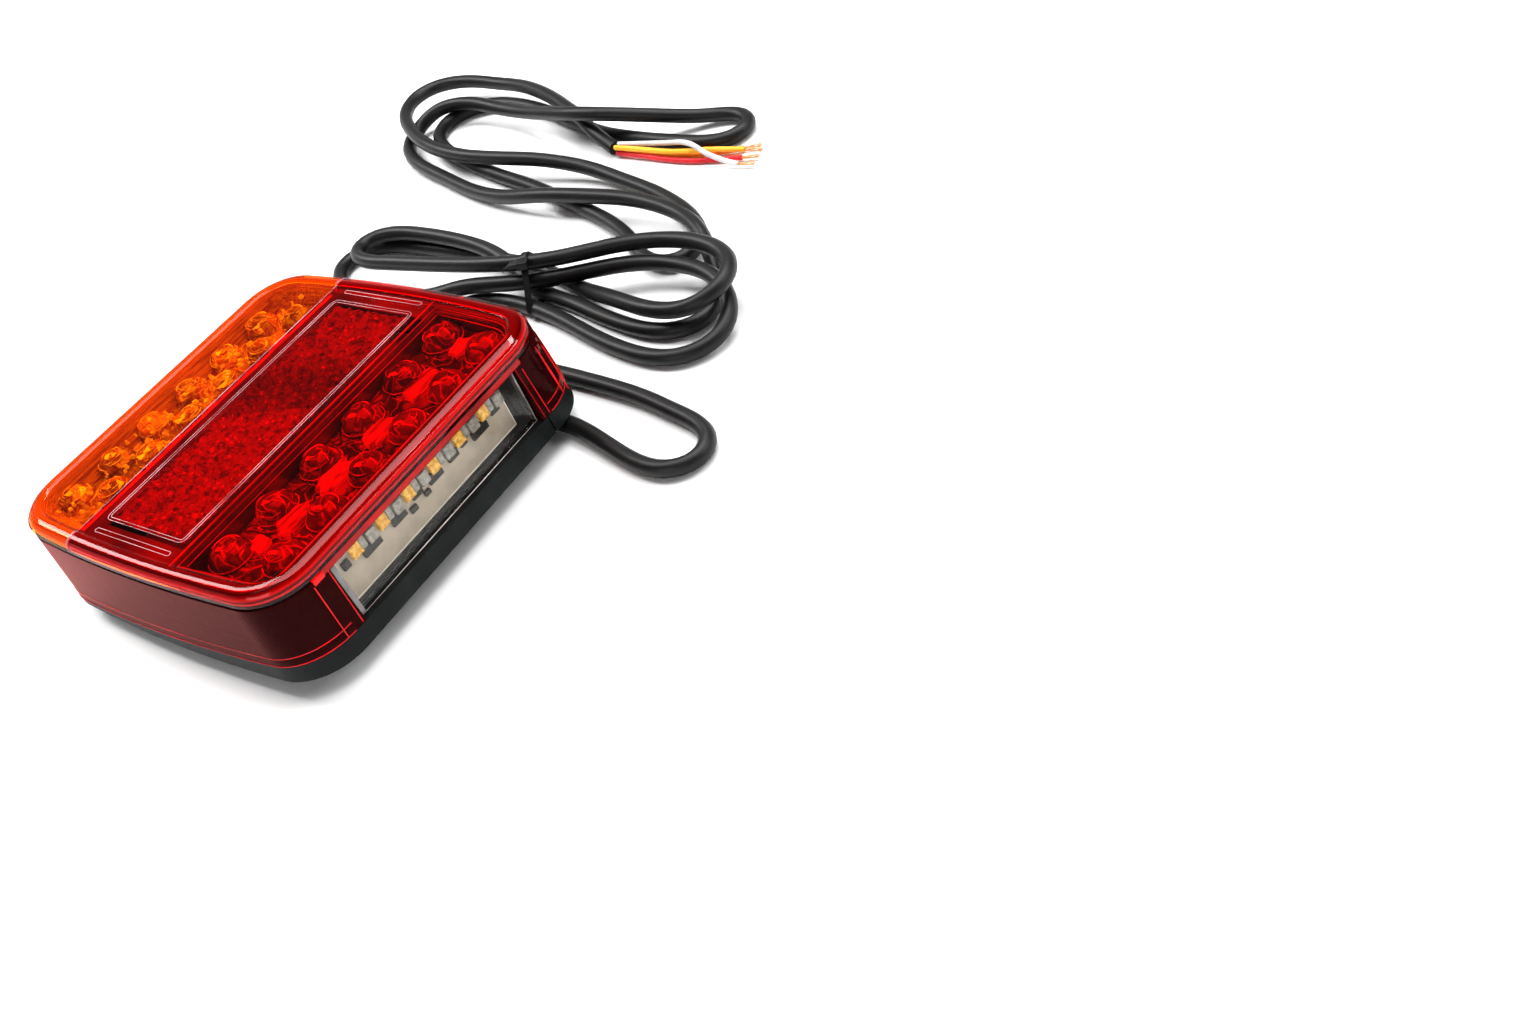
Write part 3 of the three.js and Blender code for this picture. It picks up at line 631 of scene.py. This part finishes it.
def tie_outline():
    """The hull of the strands where the tie crosses them, as (across, up) in millimetres."""
    cloud = []
    for a, b in zip(line, line[1:]):
        side_a, side_b = (a - tie_middle).dot(tie_along), (b - tie_middle).dot(tie_along)
        if side_a * side_b > 0 or abs((a - tie_middle).dot(tie_across)) > TIE_REACH:
            continue
        p = a.lerp(b, side_a / (side_a - side_b))
        across = (p - tie_middle).dot(tie_across)
        for k in range(24):
            angle = k * pi / 12
            up = max(0.5, p.z + TIE_HUG * sin(angle))
            cloud.append(Vector((across + TIE_HUG * cos(angle), up)))
    return [cloud[i] for i in geometry.convex_hull_2d(cloud)]


def tie_point(across, up, along=0.0):
    return tie_middle + tie_across * across + tie_along * along + Vector((0, 0, up))


# The band, as one section after another round the strands: (along, out) from the hull.
BAND_SECTION = ((-0.95, -0.3), (-0.85, 0.2), (0, 0.28), (0.85, 0.2), (0.95, -0.3))
bm = bmesh.new()
hull = tie_outline()
centre = sum(hull, Vector((0, 0))) / len(hull)
sections = []
for p in hull:
    out = (p - centre).normalized()
    sections.append([])
    for along, lift in BAND_SECTION:
        q = p + out * lift
        sections[-1].append(tie_point(q.x, max(q.y, 0.1), along))
loft(bm, [*sections, sections[0]])
bmesh.ops.remove_doubles(bm, verts=bm.verts, dist=0.001)
tie = finish_mesh("cable_tie_band", bm, "tie", 40)
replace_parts(tie, "cable_tie")

# The head, and the tail that bends down from it.
HEAD_HALF = Vector((1.7, 1.4, 1.1))
TAIL_SECTION = ((1, 0.4), (1, -0.4), (-1, -0.4), (-1, 0.4))
bm = bmesh.new()
top = max(hull, key=lambda p: p.y)
head = tie_point(top.x - 3.0, top.y - 1.0)
add_box(bm, head - HEAD_HALF, head + HEAD_HALF, Matrix.Rotation(TIE_TURN, 3, "Z"))
rings = []
for k in range(6):
    bend = 0.16 * k * k
    p = head - tie_along * (1 + 1.6 * k) + tie_across * (0.5 + bend) + Vector((0, 0, 0.3 - bend))
    rings.append([p + tie_across * side + Vector((0, 0, lift)) for side, lift in TAIL_SECTION])
loft(bm, rings, caps=(True, True))
tie_head = finish_mesh("cable_tie_head", bm, "tie", bevel=0.3)

on_cable += [tie, tie_head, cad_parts["cable_gland"]]

# ----- lamp outline

# The same dimensions as in the CAD part.
HALF_WIDTH, HALF_LENGTH, SIDE_BOW, CORNER_RADIUS, FLARE = 50.0, 49.9, 2.5, 14.0, 0.026
BACK_Z, PARTING_Z, PARTING_SLOPE, BEZEL_Z, FACE_Z = 5.0, 7.7, 0.041, 26.8, 30.0
SEAM_X = -22.9
TRAY_INSET = 3.4

# Areas of the face, as low X, high X and half the length along Y.
FRAME_BOX = (-17.8, 12.1, 40.0)
STOP_BOX = (13.6, 43.2, 44.6)
TURN_BOX = (-46.6, -24.4, 44.6)


def bow_of(inset):
    """The radius of the bowed short sides, and the Y of that circle's centre."""
    half = HALF_WIDTH - inset
    radius = (half ** 2 + SIDE_BOW ** 2) / (2 * SIDE_BOW)
    return radius, HALF_LENGTH - inset - radius


def outline(inset, corner_steps=10, side_steps=16):
    """The lamp's outline as (x, y), straight on its long sides and bowed on its short ones."""
    radius = max(CORNER_RADIUS - inset, 1.0)
    bow, bow_centre = bow_of(inset)
    cx = HALF_WIDTH - inset - radius
    cy = bow_centre + sqrt((bow - radius) ** 2 - cx ** 2)
    turn = atan2(cy - bow_centre, cx)
    corner = []
    for i in range(corner_steps + 1):
        angle = turn * i / corner_steps
        corner.append((cx + radius * cos(angle), cy + radius * sin(angle)))
    side = []
    for i in range(1, side_steps):
        angle = turn + (pi - 2 * turn) * i / side_steps
        side.append((bow * cos(angle), bow_centre + bow * sin(angle)))
    half_line = corner + side + [(-x, y) for x, y in reversed(corner)]
    return half_line + [(-x, -y) for x, y in half_line]


def short_side_y(x, inset=0.0):
    """How far out the bowed short side is at x."""
    bow, bow_centre = bow_of(inset)
    return bow_centre + sqrt(bow ** 2 - x ** 2)


def growth(z):
    """How much wider the walls are at z than at the bezel."""
    return 1 + FLARE * max(0.0, BEZEL_Z - z) / (BEZEL_Z - BACK_Z)


def ring(inset, z, corner_steps=10, side_steps=16):
    k = growth(z)
    return [Vector((x * k, y * k, z)) for x, y in outline(inset, corner_steps, side_steps)]


def keep(bm, axis, low=None, high=None):
    """Cuts away what is below low or above high along an axis."""
    for limit, sign in ((low, -1), (high, 1)):
        if limit is None:
            continue
        place, normal = Vector(), Vector()
        place[axis], normal[axis] = limit, sign
        everything = bm.verts[:] + bm.edges[:] + bm.faces[:]
        bmesh.ops.bisect_plane(bm, geom=everything, plane_co=place, plane_no=normal, clear_outer=True)


# ----- face lenses

# As (inset from the outline, height): the lens's outer surface, and what is seen inside its thick rim.
BEZEL = [(0.0, 26.9), (0.0, 28.1), (0.04, 28.3), (0.44, 29.25), (0.55, 29.42), (1.05, 29.92), (1.25, 30.03),
         (2.55, 30.42), (2.8, 30.45), (3.7, 30.45), (3.85, 30.42), (4.25, 30.06), (4.4, 29.98)]
RIM = [(0.5, 27.2), (0.5, 28.4), (0.9, 29.1), (1.7, 29.7), (2.6, 29.95), (3.6, 29.9), (4.3, 29.5),
       (4.7, 28.6), (4.7, 27.2)]


def keep_colour(bm, colour, gap):
    """Keeps what is on one colour's side of the seam."""
    if colour == "amber":
        keep(bm, 0, high=SEAM_X - gap)
    else:
        keep(bm, 0, low=SEAM_X + gap)


for colour in ("amber", "red"):
    bm = bmesh.new()
    flat = [(inset, BEZEL[-1][1]) for inset in (5.4, 9.0)]
    loft(bm, [ring(inset, z) for inset, z in BEZEL + flat], caps=(False, True))
    keep_colour(bm, colour, 0.05)
    lens = f"{colour}_lens"
    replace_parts(finish_mesh(f"{colour}_face", bm, f"{colour}_clear", 14), lens)

# Every ridge of the reflector's frame shows as two fine round edges, coloured with painted highlights.
FINE = 0.075
x0, x1, y1 = FRAME_BOX
bm = bmesh.new()
for step in (0.15, 0.95):
    frame_line = rounded_box(x0 + step, x1 - step, step - y1, y1 - step, 1.8 - step, FACE_Z + 0.4)
    add_line(bm, frame_line, FINE)
for side in (-1, 1):
    ends = sorted((side * (y1 + 2.6), side * (y1 + 3.8)))
    add_line(bm, rounded_box(x0 + 0.6, x1 - 0.6, *ends, 0.55, FACE_Z + 0.34), FINE)
# A painted highlight along the seam.
seam = [Vector((SEAM_X + 0.3, y, FACE_Z + 0.15)) for y in (-46.6, -20, 0, 20, 46.6)]
add_line(bm, seam, 0.12, closed=False)
finish_mesh("face_ridges", bm, "ridge", 60)

# Painted highlights along the seam where it crosses the rim.
bm = bmesh.new()
for side in (-1, 1):
    for x in (SEAM_X - 0.25, SEAM_X + 0.25):
        path = [Vector((x, side * (short_side_y(x, inset) + 0.03), z)) for inset, z in BEZEL]
        add_line(bm, path, 0.09, closed=False)
finish_mesh("seam_edges", bm, "ridge", 60)
# A painted orange glow along the red rim's near side.
bm = bmesh.new()
add_line(bm, [Vector((x, -short_side_y(x), 28.55)) for x in range(-21, 24, 3)], 0.24, closed=False)
finish_mesh("rim_painted_orange_glow", bm, "painted_orange_glow", 60)

# The stop light's tray shows round its edge as a thick line and two fine ones.
bm = bmesh.new()
for step, z, thick in ((-0.5, 29.3, 0.28), (0.7, 28.6, 0.12), (1.6, 27.4, 0.12)):
    low, high = STOP_BOX[0] + step, STOP_BOX[1] + 1 - step
    border = [Vector((max(low, min(high, x)), y, z)) for x, y in outline(4.6 + step)]
    border = [p for p, q in zip(border, border[1:] + border[:1]) if (p - q).length > 0.05]
    add_line(bm, border, thick)
finish_mesh("stop_border", bm, "stop_line", 60)

SURROUND_Z = (28.0, 28.6)
bm = bmesh.new()
add_box(bm, (SEAM_X + 0.4, -45, SURROUND_Z[0]), (x0 - 0.2, 45, SURROUND_Z[1]))
for side in (-1, 1):
    y = side * (y1 + 2.7)
    add_box(bm, (x0, y - 2.5, SURROUND_Z[0]), (STOP_BOX[0] - 0.3, y + 2.5, SURROUND_Z[1]))
finish_mesh("reflector_surround", bm, "surround")

# The rims' cores, which carry the painted reflections and shade.
for colour in ("amber", "red"):
    bm = bmesh.new()
    loft(bm, [ring(inset, z) for inset, z in RIM])
    keep_colour(bm, colour, 0.1)
    finish_mesh(f"{colour}_rim", bm, f"rim_{colour}", 60)

# ----- reflex reflector

PITCH = 1.15            # of the prisms along X
ROW = PITCH * 0.866     # and from row to row
PRISM_Z = 28.8
bm = bmesh.new()
x_low, x_high, y_low, y_high = FRAME_BOX[0] + 0.9, FRAME_BOX[1] - 0.9, 0.9 - FRAME_BOX[2], FRAME_BOX[2] - 0.9
rows = int((y_high - y_low) / ROW)
columns = int((x_high - x_low) / PITCH)
lattice = []
for j in range(rows + 1):
    shift = 0.5 * PITCH * (j % 2)
    row = []
    for i in range(columns + 1):
        level = (i + 2 * j - j // 2) % 3
        x = min(x_low + i * PITCH + shift + random.uniform(-0.2, 0.2), x_high)
        y = y_low + j * ROW + random.uniform(-0.2, 0.2)
        row.append(bm.verts.new((x, y, PRISM_Z + level * 0.3 + random.uniform(0, 0.5))))
    lattice.append(row)
for j in range(rows):
    for i in range(columns):
        a, b, c, d = lattice[j][i], lattice[j][i + 1], lattice[j + 1][i], lattice[j + 1][i + 1]
        halves = ((a, b, c), (b, d, c)) if j % 2 == 0 else ((a, b, d), (a, d, c))
        bm.faces.new(halves[0])
        bm.faces.new(halves[1])
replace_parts(finish_mesh("reflex_prism_plate", bm, "reflex", 0), "reflex_reflector")

# ----- stop and indicator optics


def dome(bm, x, y, z, radius, height, segments=24, levels=6, jitter=0.0):
    """A round lens or, with jitter, a rough crystal."""
    rings = []
    for k in range(levels):
        angle = pi / 2 * k / levels
        r, up = radius * cos(angle), height * sin(angle)
        circle = []
        for i in range(segments):
            t = 2 * pi * (i + 0.5 * (k % 2 if jitter else 0)) / segments
            push = 1 + jitter * (random.random() - 0.5)
            circle.append(Vector((x + r * push * cos(t), y + r * push * sin(t), z + up * push)))
        rings.append(circle)
    made = loft(bm, rings)
    tip = bm.verts.new((x, y, z + height))
    for i in range(segments):
        bm.faces.new((made[-1][i], made[-1][(i + 1) % segments], tip))


def places(*columns):
    """The centres of the round lenses, six to a column, from each column's x, middle and pitch."""
    return [(x, middle + (i - 2.5) * pitch) for x, middle, pitch in columns for i in range(6)]


def floor_plate(area, z, inset):
    """The plate that the round lenses of an area stand on."""
    bm = bmesh.new()
    x0, x1, half = area
    points = []
    for x, y in outline(TRAY_INSET + inset):
        points.append((max(x0 + inset, min(x1 - inset, x)), max(inset - half, min(half - inset, y)), z))
    bm.faces.new([bm.verts.new(p) for p in points])
    bmesh.ops.remove_doubles(bm, verts=bm.verts, dist=0.01)
    return bm


STOP_Z, STOP_RADIUS, STOP_RISE = 24.0, 5.3, 4.3
stop_places = places((20, 1.3, 14.8), (35.3, 2.6, 14))
bm = floor_plate(STOP_BOX, STOP_Z, 1.6)
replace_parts(finish_mesh("stop_optic_floor", bm, "stop_floor", 0), "stop_optic")
bm = bmesh.new()
for x, y in stop_places:
    dome(bm, x, y, STOP_Z, STOP_RADIUS, STOP_RISE)
finish_mesh("stop_bubbles", bm, "stop_dome", 35)

# Glints: a wavering ring round each lens's foot, arcs on it, and crystals about them.
GLINT = 0.14
FOOT_POINTS = 28
bm = bmesh.new()
for x, y in stop_places:
    path = []
    for i in range(FOOT_POINTS):
        reach = (STOP_RADIUS + 0.05) * (1 + 0.05 * (random.random() - 0.5))
        angle = 2 * pi * i / FOOT_POINTS
        path.append(Vector((x + reach * cos(angle), y + reach * sin(angle), STOP_Z + 0.5)))
    add_line(bm, path, GLINT)
add_arcs(bm, stop_places, 7, STOP_RADIUS - 0.1, STOP_RISE, STOP_Z, GLINT)
for _ in range(40):
    x, y = random.uniform(16, 41), random.uniform(-42, 42)
    dome(bm, x, y, STOP_Z + 0.1, random.uniform(0.3, 0.8), random.uniform(0.6, 1.6), 5, 2, 0.5)
finish_mesh("stop_glints", bm, "stop_glint")

# Bright patches between the lenses, as x, y, half width and half length: rounded boxes with a wavering edge.
PADS = [(26.6, 23.2, 3.4, 5.2), (27.2, 6.6, 3.3, 4.9), (27.0, -8.2, 3.5, 5.2), (27.0, -22.4, 3.2, 4.8),
        (24.8, -31.0, 2.8, 2.6), (27.4, 37.0, 2.4, 3.2)]
PAD_POINTS = 20
bm = bmesh.new()
for x, y, wide, tall in PADS:
    shape = []
    for i in range(PAD_POINTS):
        push, angle = random.uniform(0.8, 1.15), 2 * pi * i / PAD_POINTS
        across, along = cos(angle), sin(angle)
        across = copysign(abs(across) ** 0.7, across) * wide * push
        along = copysign(abs(along) ** 0.7, along) * tall * push
        shape.append((across - 0.12 * along, along))
    rings = []
    for scale, lift in ((1.1, 0.05), (1.0, 0.7), (0.9, 1.0), (0.5, 1.2)):
        rings.append([Vector((x + a * scale, y + b * scale, STOP_Z + lift)) for a, b in shape])
    loft(bm, rings, caps=(False, True))
finish_mesh("stop_bright_pads", bm, "stop_pad", 40)

TURN_Z, TURN_RADIUS, TURN_RISE = 25.0, 5.0, 4.2
turn_places = places((-40.4, -2.4, 13), (-30.6, 2.4, 13))
bm = floor_plate(TURN_BOX, TURN_Z, 0.2)
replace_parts(finish_mesh("indicator_optic_floor", bm, "turn_floor", 0), "indicator_optic")
bm = bmesh.new()
for x, y in turn_places:
    dome(bm, x, y, TURN_Z, TURN_RADIUS, TURN_RISE, 9, 4, 0.16)
finish_mesh("indicator_bubbles", bm, "turn_dome", 0)

bm = bmesh.new()
for _ in range(60):
    y = random.uniform(-42, 42)
    x = random.choice((random.gauss(-35.5, 2.4), random.gauss(-35.5, 5.0)))
    if -45 < x < -26.5:
        z = TURN_Z + 1.4 + 1.2 * random.random()
        dome(bm, x, y, z, random.uniform(0.3, 1.0), random.uniform(0.4, 1.2), 5, 2, 0.6)
add_arcs(bm, turn_places, 9, TURN_RADIUS - 0.1, TURN_RISE, TURN_Z, 0.13)
finish_mesh("indicator_glints", bm, "turn_glint")

# The indicator's tray has steps all round, which show as ribs.
bm = bmesh.new()
for k in range(6):
    inset, z = 4.6 + k * 0.55, 29.3 - k * 0.8
    loft(bm, [ring(inset, z), ring(inset + 0.4, z + 0.1), ring(inset + 0.6, z - 0.75)])
keep(bm, 0, high=TURN_BOX[1] - 0.1)
finish_mesh("indicator_ribs", bm, "turn_tray", 20)


def rim_height(inset):
    """The height of the lens's outer surface at an inset from its outline."""
    for (i0, z0), (i1, z1) in zip(BEZEL, BEZEL[1:]):
        if i0 < inset <= i1:
            return z0 + (z1 - z0) * (inset - i0) / (i1 - i0)
    return BEZEL[-1][1]


bm = bmesh.new()
for k in range(9):
    inset = 1.1 + 0.72 * k
    add_line(bm, ring(inset, rim_height(inset) - 0.16), 0.09, sides=6)
keep(bm, 0, high=SEAM_X - 0.6)
finish_mesh("amber_rib_lines", bm, "turn_line", 60)
bm = bmesh.new()
add_line(bm, ring(0.12, 28.7), 0.2, sides=6)
keep(bm, 0, high=-40)
finish_mesh("amber_edge_line", bm, "amber_edge", 60)

# ----- skirt details

# Painted light: fine round edges in bright red, where light runs along the skirt's edges: two just above the
# seam with the base, left out under the window, then upright ones.
WINDOW_HALF_Y = 32
bm = bmesh.new()
for lift, outward in ((0.35, 0.05), (2.6, 0.0)):
    path = []
    for x, y in outline(-outward):
        z = PARTING_Z + PARTING_SLOPE * x + lift
        path.append(Vector((x * growth(z), y * growth(z), z)))
    add_line(bm, path, 0.12, sides=6)
under_window = []
for face in bm.faces:
    middle = face.calc_center_median()
    if middle.x > HALF_WIDTH - 1 and abs(middle.y) < WINDOW_HALF_Y:
        under_window.append(face)
bmesh.ops.delete(bm, geom=under_window, context="FACES")


def upright(x, y, foot, z, across=0.0, along=0.0):
    """The place at height z of a line that leans with the wall and stands at x, y, or a place beside it."""
    lean = growth(z) / growth(foot)
    return Vector((x * lean + across, y * lean + along, z))


SIX_TURNS = (0, 1.05, 2.09, 3.14, 4.19, 5.24)
UPRIGHT_RADIUS = 0.13
for x, y, top in ((50.9, 32.9, 25.4), (51.0, 34.6, 24.0), (50.4, 43.0, 24.0), (51.0, -32.9, 25.4),
                  (51.05, -37.6, 25.0)):
    foot = PARTING_Z + PARTING_SLOPE * x + 0.4
    corners = [(UPRIGHT_RADIUS * cos(turn), UPRIGHT_RADIUS * sin(turn)) for turn in SIX_TURNS]
    ends = [[upright(x, y, foot, z, *corner) for corner in corners] for z in (foot, top)]
    loft(bm, ends, caps=(True, True))
for x, y, top, size in ((50.6, 33.6, 25.6, 0.22), (50.35, 41.2, 25.0, 0.3), (46.3, 46.1, 25.4, 0.25)):
    foot = PARTING_Z + PARTING_SLOPE * x + 0.6
    path = [upright(x, y, foot, foot + (top - foot) * k / 5) for k in range(6)]
    add_line(bm, path, size, closed=False)
# A small red tab under the rim, in the same painted bright red.
add_box(bm, (49.6, -36.6, 25.2), (50.5, -33.6, 26.5))
finish_mesh("skirt_painted_edge_lights", bm, "painted_edge_light", 60)

# The red strip between the window's top and the face lens.
bm = bmesh.new()
loft(bm, [ring(-0.05, 25.3, 10, 4), ring(-0.07, 25.8, 10, 4), ring(-0.05, 26.75, 10, 4)])
keep(bm, 0, low=HALF_WIDTH - 1)
keep(bm, 1, low=-WINDOW_HALF_Y - 2.5, high=WINDOW_HALF_Y + 2.5)
finish_mesh("window_hood", bm, "hood", 60)

# ----- number plate light

PLATE_LEDS = [-23.1 + k * 8.9 for k in range(6)]

# Each LED has two pale blocks on one side and a small one under it.
low, high = (Vector(v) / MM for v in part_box("plate_board"))
front = high.x
bm = bmesh.new()
for y in PLATE_LEDS:
    add_box(bm, (front, y + 1.3, 19.9), (front + 1.5, y + 3.0, 23.4))
    add_box(bm, (front, y + 3.3, 19.6), (front + 1.9, y + 6.2, 23.0))
    add_box(bm, (front, y - 0.9, 19.0), (front + 0.9, y + 0.9, 19.9))
finish_mesh("plate_blocks", bm, "block", bevel=0.35)

# Dark parts below the LEDs, as middle y, width, lower edge and height, and then two by each LED.
COMPONENTS = [
    (-26.6, 2.2, 18.9, 2.2), (-19.2, 5.6, 17.2, 2.5), (-10.2, 4.6, 17.2, 2.3), (-6.0, 2.2, 16.0, 1.5),
    (-3.4, 3.4, 18.2, 1.6), (-1.0, 1.9, 16.4, 1.3), (2.8, 4.6, 17.6, 2.4), (9.2, 3.4, 17.9, 2.0),
    (13.2, 2.2, 18.4, 1.5), (18.6, 5.4, 17.0, 2.5), (24.6, 3.0, 18.2, 1.8),
]
bm = bmesh.new()
for y, wide, z, tall in COMPONENTS:
    add_box(bm, (front - 0.1, y - wide / 2, z), (front + 0.8, y + wide / 2, z + tall))
for y in PLATE_LEDS:
    add_box(bm, (front - 0.1, y + 1.6, 23.3), (front + 0.8, y + 5.9, 24.7))
    add_box(bm, (front - 0.1, y + 6.4, 22.2), (front + 0.6, y + 7.4, 24.0))
finish_mesh("plate_components", bm, "part", bevel=0.2)

bm = bmesh.new()
back, proud = front - 0.05, front + 0.15
add_box(bm, (back, low.y, low.z), (proud, high.y, low.z + 0.3))
add_box(bm, (back, high.y - 0.2, low.z), (proud, high.y, high.z))
add_box(bm, (back, low.y, low.z), (proud, low.y + 0.2, high.z))
finish_mesh("plate_board_edge", bm, "cream_edge")

low, high = (Vector(v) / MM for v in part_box("plate_window"))
bm = bmesh.new()
add_box(bm, (high.x - 0.5, low.y, low.z), high)
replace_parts(finish_mesh("plate_pane", bm, "clear", bevel=0.1), "plate_window")
bm = bmesh.new()
add_box(bm, (low.x + 0.1, low.y, low.z + 0.1), (high.x + 0.2, low.y + 1.5, high.z - 0.1))
add_box(bm, (low.x + 0.1, high.y - 0.5, low.z + 0.1), (high.x + 0.2, high.y, high.z - 0.1))
finish_mesh("plate_pane_edges", bm, "pane_edge", bevel=0.25)
bm = bmesh.new()
glints = [((high.x + 0.1, low.y, low.z + 0.1), (high.x + 0.1, high.y, low.z + 0.1))]
for y in (low.y + 0.1, low.y + 1.4, high.y - 0.5):
    glints.append(((high.x + 0.2, y, low.z), (high.x + 0.2, y, high.z)))
for start, end in glints:
    add_line(bm, [Vector(start).lerp(Vector(end), k / 6) for k in range(7)], 0.1, closed=False, sides=6)
finish_mesh("plate_pane_glints", bm, "pane_painted_glint", 60)

# ----- finishes of the CAD nodes

FINISH = {
    "base_housing": "black", "cable_gland": "rubber", "fixing_insert": "brass", "potting_resin": "resin",
    "smoked_skirt": "smoke_clear", "face_gasket": "rubber", "stop_tray": "stop_tray",
    "indicator_tray": "turn_tray", "chamber_divider": "rubber", "main_board": "board", "stop_led": "led",
    "indicator_led": "led", "plate_chamber": "chamber", "plate_board": "cream", "plate_led": "chip",
}
for name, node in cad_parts.items():
    for start, mat in FINISH.items():
        if name.startswith(start):
            node.data.materials.clear()
            node.data.materials.append(MAT[mat])
            node.data.shade_smooth()
            node.data.set_sharp_from_angle(angle=radians(28))

# ----- floor and light

FLOOR_RADIUS = 0.75
bm = bmesh.new()
bmesh.ops.create_circle(bm, cap_ends=True, segments=96, radius=FLOOR_RADIUS)
mesh = bpy.data.meshes.new("floor")
bm.to_mesh(mesh)
bm.free()
floor = link("floor", mesh, "floor", ride=None)
floor.location.z = -0.0002

# The sky's brightness by height: white at the horizon, and dark overhead, which the flat lens mirrors.
SKY = [(0.0, 1.0), (0.05, 0.8), (0.22, 0.7), (0.42, 0.12), (0.60, 0.04)]
world = bpy.data.worlds.new("studio")
bpy.context.scene.world = world
world.use_nodes = True
tree = world.node_tree
background = tree.nodes["Background"]
background.inputs["Strength"].default_value = 1.0
brightness = ramp(tree, place_axes(tree, "Generated")["Z"], [(height, grey(value)) for height, value in SKY])
tree.links.new(brightness, background.inputs["Color"])

SOFTBOX_TARGET = Vector((0, 0.04, 0.01))


def softbox(name, direction, distance, size, power):
    data = bpy.data.lights.new(name, "AREA")
    data.shape = "RECTANGLE"
    data.size, data.size_y = size
    data.energy = power
    light = add_object(name, data)
    outward = Vector(direction).normalized()
    light.location = SOFTBOX_TARGET + outward * distance
    light.rotation_euler = outward.to_track_quat("Z", "Y").to_euler()


softbox("key", (-0.02, 0.26, 0.95), 1.0, (0.9, 0.8), 13)
softbox("rim", (0.68, 0.5, 0.52), 1.1, (0.7, 0.16), 4)
softbox("fill", (0.15, -1.0, 0.4), 1.2, (0.8, 0.5), 4)
softbox("left", (-0.70, -0.02, 0.71), 1.2, (0.26, 0.8), 12)
softbox("ceiling", (0, 0, 1), 3.0, (3.2, 3.2), 16)
softbox("edge", (0.1, 0.52, 0.85), 1.1, (1.3, 0.07), 6)
bpy.context.scene.view_settings.view_transform = "Standard"
